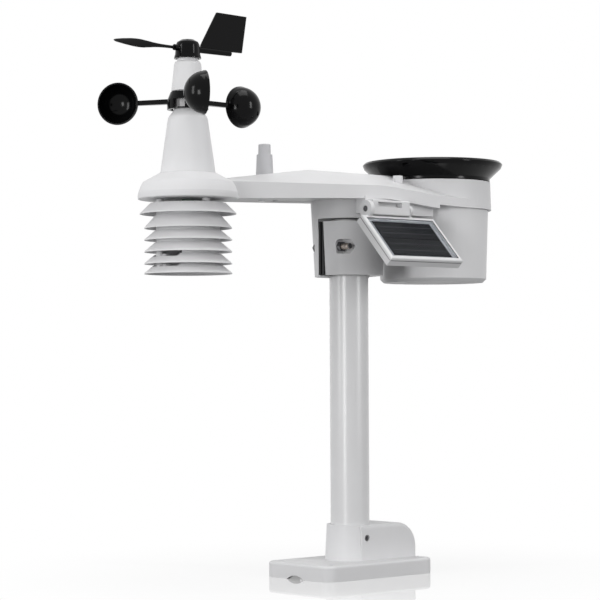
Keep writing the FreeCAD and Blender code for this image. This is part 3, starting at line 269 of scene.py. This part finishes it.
# ---- Arm -------------------------------------------------------------------------
# The arm is a shallow tray with the pole's boss and the battery door, screwed from below to
# a roofed cover that ends in the shield's hood and the rain collar. Both are satin white
# ABS, dusty on top and a little rubbed at the corners.
ROOF_LEAN = 13.0
arm_abs = moulded("arm_abs", ABS_GREY, 0.42, dust=0.14, glint=0.12)
softened("arm_lower_housing", "arm_tray", arm_abs, "array", "white_plastic", width=0.6 * MM)
# The roof's slopes meet at small angles, and those ridges are eased as well.
softened("arm_top_cover", "arm_cover", arm_abs, "array", "white_plastic", lean=ROOF_LEAN)
softened("battery_door", "door_plate", arm_abs, "door", "white_plastic", width=0.3 * MM)
board_green = moulded("board_mask", (0.02, 0.12, 0.05), 0.35, tone=0.2, grain=0.02 * MM, size=700.0, wear=0.0,
                      dust=0.05)
cell_sleeve = moulded("cell_sleeve", (0.035, 0.045, 0.06), 0.30, tone=0.1, wear=0.2, dust=0.0)
dress(zinc, "housing_screws", "door_screw", "battery_contacts")
dress(board_green, "main_board")
dress(cell_sleeve, "battery_cells")


# ---- Clamp -----------------------------------------------------------------------
# A clamp half closes the boss round the pole, with black rubber pads in the gap. Two M5
# bolts pull them together; their rolled threads stick out of nuts in hex wells, painted dark for the shade
# there.
CLAMP_SIDE = 32.3 * MM
FLANGE_ROOT = 28.4 * MM


def new_rule(name, sizes):
    """An empty Geometry Nodes tree; a function that gives its inputs by name, and its end."""
    rule = bpy.data.node_groups.new(name, "GeometryNodeTree")
    rule.is_modifier = True
    rule.interface.new_socket("Geometry", in_out="INPUT", socket_type="NodeSocketGeometry")
    rule.interface.new_socket("Material", in_out="INPUT", socket_type="NodeSocketMaterial")
    for title, default in sizes.items():
        kind = "NodeSocketInt" if isinstance(default, int) else "NodeSocketFloat"
        rule.interface.new_socket(title, in_out="INPUT", socket_type=kind).default_value = default
    rule.interface.new_socket("Geometry", in_out="OUTPUT", socket_type="NodeSocketGeometry")
    start = rule.nodes.new("NodeGroupInput")
    return rule, lambda title: Value(start.outputs[title]), rule.nodes.new("NodeGroupOutput")


def close_rule(rule, shape, given, end):
    """Ends a tree: copies made real, doubled points merged, the material set."""
    real = add(rule, "GeometryNodeRealizeInstances", {"Geometry": shape})
    merged = add(rule, "GeometryNodeMergeByDistance", {"Geometry": real, "Distance": SAME_POINT})
    painted = add(rule, "GeometryNodeSetMaterial", {"Geometry": merged, "Material": given("Material")})
    wire(rule, end, {0: painted})


def vector(rule, x=0.0, y=0.0, z=0.0):
    """A vector made of numbers."""
    return add(rule, "ShaderNodeCombineXYZ", {0: x, 1: y, 2: z})


def in_line(rule, shape, count, offset, start):
    """Copies of a shape, the first one at the start and each next one an offset further on."""
    spots = add(rule, "GeometryNodeMeshLine", {"Count": count, "Offset": offset, "Start Location": start})
    return add(rule, "GeometryNodeInstanceOnPoints", {"Points": spots, "Instance": shape})


def grown(name, rule, material, body, slot, *nodes, **sizes):
    """The mesh that a tree makes with these sizes, as a finished piece of the object."""
    seed = bpy.data.objects.new(name + "_seed", bpy.data.meshes.new(name + "_seed"))
    bpy.context.scene.collection.objects.link(seed)
    maker = seed.modifiers.new(rule.name, "NODES")
    maker.node_group = rule
    chosen = {"material": material, **sizes}
    for socket in rule.interface.items_tree:
        if socket.in_out == "INPUT" and socket.name != "Geometry":
            key = socket.name.lower().replace(" ", "_")
            maker[socket.identifier] = chosen.get(key, socket.default_value)
    mesh = baked(seed)
    mesh.shade_smooth()
    mesh.set_sharp_from_angle(angle=math.radians(EASED_FROM + BREAK_BEYOND))
    return piece_from(name, mesh, material, body, slot, *nodes)


# The rolled thread: a ridge that climbs round each bolt, once for either side of the pole.
thread_rule, given, end = new_rule("thread_rule", {
    "Radius": 2.36 * MM, "Length": 9.0 * MM, "Pitch": 0.8 * MM, "Ridge": 0.34 * MM, "Bolt Spacing": 48.0 * MM,
    "Start": -18.2 * MM, "Height": 293.0 * MM})
helix = add(thread_rule, "GeometryNodeCurveSpiral", {
    "Resolution": 20, "Rotations": given("Length") / given("Pitch"), "Start Radius": given("Radius"),
    "End Radius": given("Radius"), "Height": given("Length")})
ridge = add(thread_rule, "GeometryNodeCurvePrimitiveCircle", {"Resolution": 4, "Radius": given("Ridge")})
coil = add(thread_rule, "GeometryNodeCurveToMesh", {
    "Curve": helix, "Profile Curve": ridge, "Fill Caps": True})
laid = add(thread_rule, "GeometryNodeTransform", {"Geometry": coil, "Rotation": (math.radians(90), 0.0, 0.0)})
coils = in_line(thread_rule, laid, 2, vector(thread_rule, given("Bolt Spacing")),
                vector(thread_rule, given("Bolt Spacing") * -0.5, given("Start"), given("Height")))
close_rule(thread_rule, coils, given, end)


def flush_flanges(build):
    """Brings the pads' flanges out to the clamp's sides, where they show as black strips."""
    for vert in build.verts:
        if abs(vert.co.x) > FLANGE_ROOT:
            vert.co.x = math.copysign(CLAMP_SIDE, vert.co.x)


pad_rubber = moulded("pad_rubber", (0.014, 0.014, 0.015), 0.62, tone=0.2, grain=0.04 * MM, wear=0.2,
                     worn=(0.05, 0.05, 0.05), dust=0.03, glint=0.3)
thread_brass = moulded("thread_brass", (0.36, 0.31, 0.27), 0.34, tone=0.15, grain=0.01 * MM, wear=0.3,
                       worn=(0.60, 0.55, 0.48), dust=0.0, metal=1.0)
softened("clamp_half", "clamp_shell", arm_abs, "array", "white_plastic", width=0.8 * MM)
softened("clamp_pads", "gap_rubber", pad_rubber, "array", "black_rubber", width=0.2 * MM,
         shaped=flush_flanges)
dress(dark_steel, "clamp_bolts", "clamp_nuts")
grown("bolt_threads", thread_rule, thread_brass, "array", "brassy")


# ---- Antenna, level and lamps ----------------------------------------------------
# The antenna hides in a two-step cap. A round bubble level sits on the roof under a clear
# dome. Below the arm are the status lamp's lens, painted pale as a glint, and the reset key.
antenna_abs = moulded("antenna_abs", (0.50, 0.50, 0.515), 0.42, dust=0.10, glint=0.2)
softened("antenna_stub", "antenna_cap", antenna_abs, "array", "white_plastic")
softened("bubble_level", "level_rim", arm_abs, "array", "white_plastic", width=0.4 * MM)
clear = moulded("clear_plastic", (0.86, 0.88, 0.90), 0.06, tone=0.02, grain=0.0, wear=0.0, dust=0.0,
                glint=0.2)
wire(clear.node_tree, clear.node_tree.nodes["Principled BSDF"], {"Transmission Weight": 1.0, "IOR": 1.04})
# The status lamp's lens is painted pale: a painted glint in the shade under the arm.
glint_lens = moulded("milky_lens", (0.80, 0.82, 0.84), 0.12, tone=0.03, grain=0.0, wear=0.0, dust=0.0)
dress(clear, "bubble_level_lens")
dress(glint_lens, "status_lens")
softened("reset_button", "reset_key", arm_abs, "reset", "white_plastic", width=0.2 * MM)


# ---- Radiation shield ------------------------------------------------------------
# Six sloping plates of satin ABS hang on three long screws under the hood. The first is
# wider; the last two are open at the side, where the air reaches the sensor's grey cap.
louvre_abs = moulded("louvre_abs", ABS_GREY, 0.46, dust=0.10, glint=0.12)
for number in range(1, 7):
    softened(f"louvre_{number}", f"shield_plate_{number}", louvre_abs, "array", "white_plastic",
             width=0.35 * MM)
sensor_grey = moulded("sensor_grey", (0.10, 0.10, 0.105), 0.5, wear=0.1, worn=(0.3, 0.3, 0.3), dust=0.0)
dress(zinc, "shield_screws")
dress(board_green, "sensor_board", "wind_board")
dress(sensor_grey, "sensor_cap")


# ---- Wind tower ------------------------------------------------------------------
# A tall hollow cone stands on the hood and carries the light grey spigot on which the
# rotor turns. The smaller vane cone is screwed on top of the spigot, above the rotor.
spigot_grey = moulded("spigot_grey", (0.36, 0.355, 0.36), 0.40, tone=0.06, dust=0.05)
nickel = moulded("nickel", (0.60, 0.59, 0.57), 0.22, tone=0.05, grain=0.0, metal=1.0)
softened("wind_tower", "tower_cone", arm_abs, "array", "white_plastic")
softened("vane_housing", "vane_cone", arm_abs, "array", "white_plastic")
dress(spigot_grey, "centre_post")
dress(thread_brass, "vane_bearings")
dress(zinc, "rotor_bearing", "vane_shaft")
dress(nickel, "rotor_magnet", "vane_magnet", "tipper_magnet")


# ---- Rotor -----------------------------------------------------------------------
# Three thin hemispheres of gloss black nylon, each with a bead round its mouth, sit on the
# arms of a hub with open windows. The cups are one moulding, repeated round the axis.
black_gloss = moulded("black_gloss", (0.0022, 0.0022, 0.0025), 0.15, tone=0.3, grain=0.004 * MM, size=600.0,
                      wear=0.0, dust=0.01, glint=0.11)


def unrolled(rule, columns, rows):
    """A flat sheet, and where each of its points lies across and along it, both from 0 to 1."""
    sheet = add(rule, "GeometryNodeMeshGrid", {
        "Size X": 1.0, "Size Y": 1.0, "Vertices X": columns, "Vertices Y": rows})
    place = add(rule, "ShaderNodeSeparateXYZ", {0: add(rule, "GeometryNodeInputPosition", {})})
    return sheet, Value(place.outputs["X"]) + 0.5, Value(place.outputs["Y"]) + 0.5


# The cup: a sheet whose rows run from the crown down the outside and back up the inside.
cup_rule, given, end = new_rule("cup_rule", {
    "Radius": 18.1 * MM, "Wall": 1.3 * MM, "Bead": 0.5 * MM, "Bead Height": 2.2 * MM, "Rings": 22,
    "Segments": 72, "Cups": 3, "Ring": 62.4 * MM, "Phase": math.radians(4.0), "Axis X": -185.7 * MM,
    "Height": 411.2 * MM})
last_row = given("Rings") * 2.0 - 1.0
sheet, share, along = unrolled(cup_rule, given("Segments") + 1.0, last_row + 1.0)
around = share * math.tau
row = (along * last_row).by("ROUND")
inside = row > given("Rings") - 0.5
climb = row.by("MINIMUM", last_row - row) / (given("Rings") - 1.0)
swing = climb * (math.pi / 2)
depth = swing.by("COSINE")
shell = given("Radius") - given("Bead") - inside * (given("Wall") - given("Bead"))
mouth = depth * given("Radius") < given("Bead Height")
wide = swing.by("SINE") * (shell + mouth * (1.0 - inside) * given("Bead"))
bowl = vector(cup_rule, wide * around.by("COSINE"), depth * shell * -1.0, wide * around.by("SINE"))
formed = add(cup_rule, "GeometryNodeSetPosition", {"Geometry": sheet, "Position": bowl})
outward = add(cup_rule, "GeometryNodeFlipFaces", {"Mesh": formed})
cup = add(cup_rule, "GeometryNodeTransform", {
    "Geometry": outward, "Translation": vector(cup_rule, given("Ring"))})
spots = add(cup_rule, "GeometryNodeMeshLine", {"Count": given("Cups"), "Offset": (0.0, 0.0, 0.0)})
index = Value(add(cup_rule, "GeometryNodeInputIndex", {}).outputs[0])
heading = vector(cup_rule, z=index / given("Cups") * math.tau + given("Phase"))
ring = add(cup_rule, "GeometryNodeInstanceOnPoints", {
    "Points": spots, "Instance": cup, "Rotation": add(cup_rule, "FunctionNodeEulerToRotation", {0: heading})})
lifted = add(cup_rule, "GeometryNodeTransform", {
    "Geometry": ring, "Translation": vector(cup_rule, given("Axis X"), 0.0, given("Height"))})
close_rule(cup_rule, lifted, given, end)

softened("rotor_hub", "rotor_body", black_gloss, "rotor", "black_gloss", width=0.3 * MM)
grown("wind_cups", cup_rule, black_gloss, "rotor", "black_gloss", "rotor_cups")


# ---- Vane ------------------------------------------------------------------------
# A domed cap with a flared skirt turns on the vane shaft. It holds a twisted leaf at the
# front, which balances the round boom and the tall fin at the back. All gloss black nylon.
# Shares of the leaf's full width and thickness, from its root to its tip.
LEAF_WIDTH = [(0.0, 0.32), (0.16, 0.34), (0.30, 0.46), (0.45, 0.76), (0.62, 1.0), (0.78, 0.84), (0.90, 0.58),
              (0.97, 0.34), (1.0, 0.0)]
LEAF_THICKNESS = [(0.0, 1.0), (0.16, 0.96), (0.32, 0.72), (0.50, 0.50), (0.80, 0.42), (0.95, 0.36),
                  (1.0, 0.0)]


def outline(rule, place, points):
    """A number that follows a curve drawn through the given points."""
    bend = add(rule, "ShaderNodeFloatCurve", {"Value": place})
    curve = bend.mapping.curves[0]
    curve.points[0].location, curve.points[-1].location = points[0], points[-1]
    for point in points[1:-1]:
        curve.points.new(*point)
    bend.mapping.update()
    return Value(bend.outputs[0])


# The leaf: flat ovals along its length, each turned a little further than the one before.
leaf_rule, given, end = new_rule("leaf_rule", {
    "Length": 64.0 * MM, "Half Width": 4.1 * MM, "Half Thickness": 1.2 * MM, "Lean": math.radians(72.0),
    "Twist": math.radians(34.0), "Steps": 56, "Segments": 20, "Root X": -200.0 * MM, "Height": 455.7 * MM})
sheet, along, share = unrolled(leaf_rule, given("Steps"), given("Segments") + 1.0)
around = share * math.tau
flat_way = given("Half Width") * outline(leaf_rule, along, LEAF_WIDTH) * around.by("COSINE")
thick_way = given("Half Thickness") * outline(leaf_rule, along, LEAF_THICKNESS) * around.by("SINE")
turned = given("Lean") + given("Twist") * (0.5 - along)
cosine, sine = turned.by("COSINE"), turned.by("SINE")
skin_at = vector(leaf_rule, given("Root X") - along * given("Length"), flat_way * cosine - thick_way * sine,
                 flat_way * sine + thick_way * cosine + given("Height"))
leaf = add(leaf_rule, "GeometryNodeSetPosition", {"Geometry": sheet, "Position": skin_at})
close_rule(leaf_rule, leaf, given, end)

for node, name in (("vane_cap", "vane_bonnet"), ("vane_boom", "tail_boom"), ("vane_fin", "tail_fin")):
    softened(node, name, black_gloss, "vane", "black_gloss", width=0.3 * MM)
grown("nose_leaf", leaf_rule, black_gloss, "vane", "black_gloss", "vane_nose")


# ---- Rain gauge ------------------------------------------------------------------
# A white bucket hangs from the arm's collar. The black funnel with its flared, rolled lip
# drops in from above, over a debris screen. Inside, a tipping bucket rocks on its axle.
RAIN_AXIS = Vector((108.2 * MM, 0.0, 0.0))
LONG_FACE = 4.0 * MM
NEAR_AXIS = 1.0 * MM
softened("rain_housing", "rain_bucket", arm_abs, "array", "white_plastic", width=1.2 * MM)
catch_funnel = softened("rain_funnel", "catch_funnel", black_gloss, "funnel", "black_gloss")

# The funnel's long thin faces take the normals of their cone, so that highlights run evenly.
catch_skin = catch_funnel.data
glances = [corner.vector.copy() for corner in catch_skin.corner_normals]
for face in catch_skin.polygons:
    corners = [(catch_skin.vertices[index].co - RAIN_AXIS).xy for index in face.vertices]
    radii = [corner.length for corner in corners]
    if max(radii) - min(radii) > LONG_FACE and min(radii) > NEAR_AXIS:
        slope = face.normal.xy.dot((face.center - RAIN_AXIS).xy.normalized())
        for index, corner in zip(face.loop_indices, corners):
            glances[index] = Vector((*(corner.normalized() * slope), face.normal.z)).normalized()
catch_skin.normals_split_custom_set(glances)
dress(black_gloss, "debris_screen")
dress(arm_abs, "tipper_stand")
dress(sensor_grey, "tipping_bucket")
dress(zinc, "tipper_axle")
dress(board_green, "rain_board")


# ---- Solar panel -----------------------------------------------------------------
# The panel tilts on a bracket under the arm. A white frame holds a clear cover over a grey backing
# sheet and two near-black silicon wafers; the dark seam round its casing is painted shade of a groove.
TILT = math.radians(47.0)
HINGE = Vector((0.0, -47.0 * MM, 325.0 * MM))
FACE_LEFT, FACE_RIGHT, FACE_NEAR, FACE_FAR = -31.0 * MM, 58.0 * MM, 6.0 * MM, 60.5 * MM
FACE_MID = ((FACE_LEFT + FACE_RIGHT) / 2, -(FACE_NEAR + FACE_FAR) / 2)
CELL_LENGTH, CELL_PITCH = 71.0 * MM, 21.1 * MM
INK, BUS_INK = 0.03 * MM, 0.05 * MM


def block(rule, length, width, thickness):
    """A flat block."""
    return add(rule, "GeometryNodeMeshCube", {"Size": vector(rule, length, width, thickness)})


def two_rows(rule, shape, gap):
    """Two copies of a shape, one each side of the middle."""
    return in_line(rule, shape, 2, vector(rule, y=gap), vector(rule, y=gap * -0.5))


# The wafers: two thin plates side by side. The backing sheet and the tape are plates too.
wafer_rule, given, end = new_rule("wafer_rule", {
    "Length": CELL_LENGTH, "Width": 20.3 * MM, "Thickness": 0.5 * MM, "Pitch": CELL_PITCH})
plate = block(wafer_rule, given("Length"), given("Width"), given("Thickness"))
close_rule(wafer_rule, two_rows(wafer_rule, plate, given("Pitch")), given, end)

# Their print: fine silver fingers across each wafer and two bus bars along it.
finger_rule, given, end = new_rule("finger_rule", {
    "Length": CELL_LENGTH, "Width": 19.6 * MM, "Line": 0.14 * MM, "Fingers": 36, "Pitch": CELL_PITCH,
    "Bus": 0.5 * MM, "Bus Spacing": 8.0 * MM})
step = given("Length") / (given("Fingers") + 1.0)
line = block(finger_rule, given("Line"), given("Width"), INK)
fingers = in_line(finger_rule, line, given("Fingers"), vector(finger_rule, step),
                  vector(finger_rule, step - given("Length") * 0.5))
bus = block(finger_rule, given("Length"), given("Bus"), BUS_INK)
buses = two_rows(finger_rule, bus, given("Bus Spacing"))
printed = add(finger_rule, "GeometryNodeJoinGeometry", {0: fingers})
wire(finger_rule, printed, {0: buses})
close_rule(finger_rule, two_rows(finger_rule, printed, given("Pitch")), given, end)

# A closed strand that follows a rounded rectangle: the cover's gasket, and the painted shade of the groove
# round the casing.
strand_rule, given, end = new_rule("strand_rule", {
    "Length": 89.0 * MM, "Width": 54.5 * MM, "Corner": 1.5 * MM, "Radius": 0.3 * MM})
loop = add(strand_rule, "GeometryNodeCurvePrimitiveQuadrilateral", {
    "Width": given("Length"), "Height": given("Width")})
route = add(strand_rule, "GeometryNodeFilletCurve", {
    "Curve": loop, "Count": 6, "Radius": given("Corner")}, mode="POLY")
bead = add(strand_rule, "GeometryNodeCurvePrimitiveCircle", {"Resolution": 8, "Radius": given("Radius")})
strand = add(strand_rule, "GeometryNodeCurveToMesh", {"Curve": route, "Profile Curve": bead})
close_rule(strand_rule, strand, given, end)


def tipped(piece, height):
    """Lays a flat piece at this height of the panel's own thickness, at the panel's tilt."""
    lay = Matrix.Translation(HINGE) @ Matrix.Rotation(TILT, 4, "X") @ Matrix.Translation((*FACE_MID, height))
    piece.data.transform(lay)


softened("panel_bracket", "panel_arm", arm_abs, "array", "white_plastic")
softened("panel_frame", "panel_surround", arm_abs, "panel", "white_plastic")
softened("panel_back", "panel_cover", arm_abs, "panel", "white_plastic", width=0.4 * MM)
dress(dark_steel, "panel_hinge_pin")

sealed = {"grain": 0.0, "wear": 0.0, "dust": 0.0}
silicon = moulded("silicon", (0.010, 0.010, 0.011), 0.40, tone=0.2, glint=0.06, **sealed)
silver_print = moulded("silver_print", (0.030, 0.030, 0.034), 0.40, tone=0.1, **sealed)
backing = moulded("backing_sheet", (0.30, 0.30, 0.31), 0.6, tone=0.08, glint=0.2, **sealed)
# Black rubber for the gap tape and the cover's gasket, and painted shade for the groove round the casing.
gasket_and_groove_shade = moulded("gasket_rubber", (0.05, 0.05, 0.052), 0.6, tone=0.1, grain=0.0, wear=0.0, dust=0.05,
                 glint=0.2)
tipped(grown("cell_wafers", wafer_rule, silicon, "panel", "solar", "solar_cells"), height=-3.4 * MM)
tipped(grown("cell_fingers", finger_rule, silver_print, "panel", "solar"), height=-3.12 * MM)
tipped(grown("backing_sheet", wafer_rule, backing, "panel", "solar", length=81.8 * MM, width=23.6 * MM,
             pitch=23.6 * MM, thickness=0.2 * MM), height=-3.95 * MM)
tipped(grown("gap_tape", wafer_rule, gasket_and_groove_shade, "panel", "solar", width=0.6 * MM, pitch=0.6 * MM,
             thickness=0.1 * MM), height=-3.78 * MM)
# The casing's seam is painted shade: a black strand where the groove between frame and casing lies in shadow.
tipped(grown("casing_seam", strand_rule, gasket_and_groove_shade, "panel", "black_rubber", radius=0.25 * MM), height=-4.6 * MM)
tipped(grown("cover_gasket", strand_rule, gasket_and_groove_shade, "panel", "black_rubber", length=81.9 * MM, width=47.4 * MM,
             corner=0.4 * MM), height=-1.75 * MM)
dress(clear, "panel_window")


# ---- Floor, light and camera -----------------------------------------------------
# A pale, polished studio table mirrors the foot faintly, takes a soft shadow and fades into
# a white surround. Strip boxes stand left, right and low at the front, a wide box hangs
# above, and the air between them is brighter towards the ceiling.
FLOOR_REACH = 6.0
FADE_START, FADE_END = 0.10, 0.40
MIRROR_SHARE, SHADOW_SHARE = 0.62, 0.14
AIR_BELOW, AIR_ABOVE, AIR_CLIMB = 0.14, 0.52, 0.7
WHITE = (1.0, 1.0, 1.0, 1.0)


def straight_to_white(tree):
    """One on the rays that should meet a white surround: those of the camera, of gloss and of glass."""
    path = add(tree, "ShaderNodeLightPath", {})
    mirrored = Value(path.outputs["Is Glossy Ray"]).by("MAXIMUM", path.outputs["Is Transmission Ray"])
    return Value(path.outputs["Is Camera Ray"]).by("MAXIMUM", mirrored)


floor_mesh = bpy.data.meshes.new("pale_floor")
edges = (-FLOOR_REACH, FLOOR_REACH)
floor_mesh.from_pydata([(x, y, 0.0) for x in edges for y in edges], [], [(0, 2, 3, 1)])
floor = bpy.data.objects.new("pale_floor", floor_mesh)
bpy.context.scene.collection.objects.link(floor)
floor_paint = bpy.data.materials.new("floor_paint")
floor_paint.use_nodes = True
tree = floor_paint.node_tree
bounce = tree.nodes["Principled BSDF"]
wire(tree, bounce, {"Base Color": (0.10, 0.10, 0.10, 1.0), "Roughness": 0.6})
white = add(tree, "ShaderNodeEmission", {"Color": WHITE, "Strength": 1.0})
mirror = add(tree, "ShaderNodeBsdfGlossy", {"Color": WHITE, "Roughness": 0.03})
polished = add(tree, "ShaderNodeMixShader", {0: MIRROR_SHARE, 1: white, 2: mirror})
matt = add(tree, "ShaderNodeBsdfDiffuse", {"Color": (0.8, 0.8, 0.8, 1.0)})
shaded = add(tree, "ShaderNodeMixShader", {0: SHADOW_SHARE, 1: polished, 2: matt})
place = add(tree, "ShaderNodeTexCoord", {}).outputs["Object"]
reach = add(tree, "ShaderNodeVectorMath", {0: place}, operation="LENGTH").outputs["Value"]
away = add(tree, "ShaderNodeMapRange", {"Value": reach, "From Min": FADE_START, "From Max": FADE_END},
           interpolation_type="SMOOTHSTEP")
table = add(tree, "ShaderNodeMixShader", {0: away, 1: shaded, 2: white})
both = add(tree, "ShaderNodeMixShader", {0: straight_to_white(tree), 1: bounce, 2: table})
wire(tree, tree.nodes["Material Output"], {"Surface": both})
floor_mesh.materials.append(floor_paint)

world = bpy.data.worlds.new("studio")
bpy.context.scene.world = world
world.use_nodes = True
tree = world.node_tree
place = add(tree, "ShaderNodeTexCoord", {}).outputs["Generated"]
upward = add(tree, "ShaderNodeSeparateXYZ", {0: place}).outputs["Z"]
strength = add(tree, "ShaderNodeMapRange", {
    "Value": upward, "From Min": 0.0, "From Max": AIR_CLIMB, "To Min": AIR_BELOW, "To Max": AIR_ABOVE})
air = tree.nodes["Background"]
wire(tree, air, {"Color": WHITE, "Strength": strength})
backdrop = add(tree, "ShaderNodeBackground", {"Color": WHITE, "Strength": 1.0})
both = add(tree, "ShaderNodeMixShader", {0: straight_to_white(tree), 1: air, 2: backdrop})
wire(tree, tree.nodes["World Output"], {"Surface": both})


def softbox(name, at, aim, width, height, power):
    """A rectangular studio lamp at one point, turned to another."""
    lamp = bpy.data.lights.new(name, "AREA")
    lamp.shape = "RECTANGLE"
    lamp.size, lamp.size_y, lamp.energy = width, height, power
    item = bpy.data.objects.new(name, lamp)
    item.location = at
    item.rotation_euler = (Vector(aim) - Vector(at)).to_track_quat("-Z", "Y").to_euler()
    bpy.context.scene.collection.objects.link(item)


softbox("left_strip", at=(-1.62, 0.36, 0.62), aim=(0.0, 0.0, 0.32), width=0.30, height=0.90, power=9.0)
softbox("right_strip", at=(0.46, -1.60, 0.68), aim=(0.0, 0.0, 0.30), width=0.30, height=0.90, power=12.0)
softbox("low_strip", at=(-1.62, -0.52, 0.26), aim=(0.0, 0.0, 0.30), width=0.30, height=0.60, power=8.6)
softbox("top_box", at=(-0.05, -0.15, 1.55), aim=(0.0, 0.0, 0.35), width=0.8, height=0.8, power=7.6)

# The photograph's own view: a long lens from the front left, just above mid height.
FRAME_PX, FOCAL_PX, EYE_LEVEL_PX = 600, 2150, 62
SENSOR = 36.0
STAND = Vector((-1.327, -1.408, 0.1907))
HEADING, TILT_UP, ROLL = math.radians(42.0), math.atan(EYE_LEVEL_PX / FOCAL_PX), math.radians(-0.27)
level = Vector((math.sin(HEADING), math.cos(HEADING), 0.0))
ahead = level * math.cos(TILT_UP) + Vector((0.0, 0.0, math.sin(TILT_UP)))
aside = ahead.cross(Vector((0, 0, 1))).normalized()
upright = aside.cross(ahead)
axes = Matrix((aside, upright, -ahead)).transposed().to_4x4() @ Matrix.Rotation(ROLL, 4, "Z")
lens = bpy.data.cameras.new("photo_view")
lens.sensor_width = SENSOR
lens.lens = FOCAL_PX / FRAME_PX * SENSOR
camera = bpy.data.objects.new("photo_view", lens)
camera.matrix_world = Matrix.Translation(STAND) @ axes
bpy.context.scene.collection.objects.link(camera)
bpy.context.scene.camera = camera
bpy.context.scene.view_settings.view_transform = "Standard"
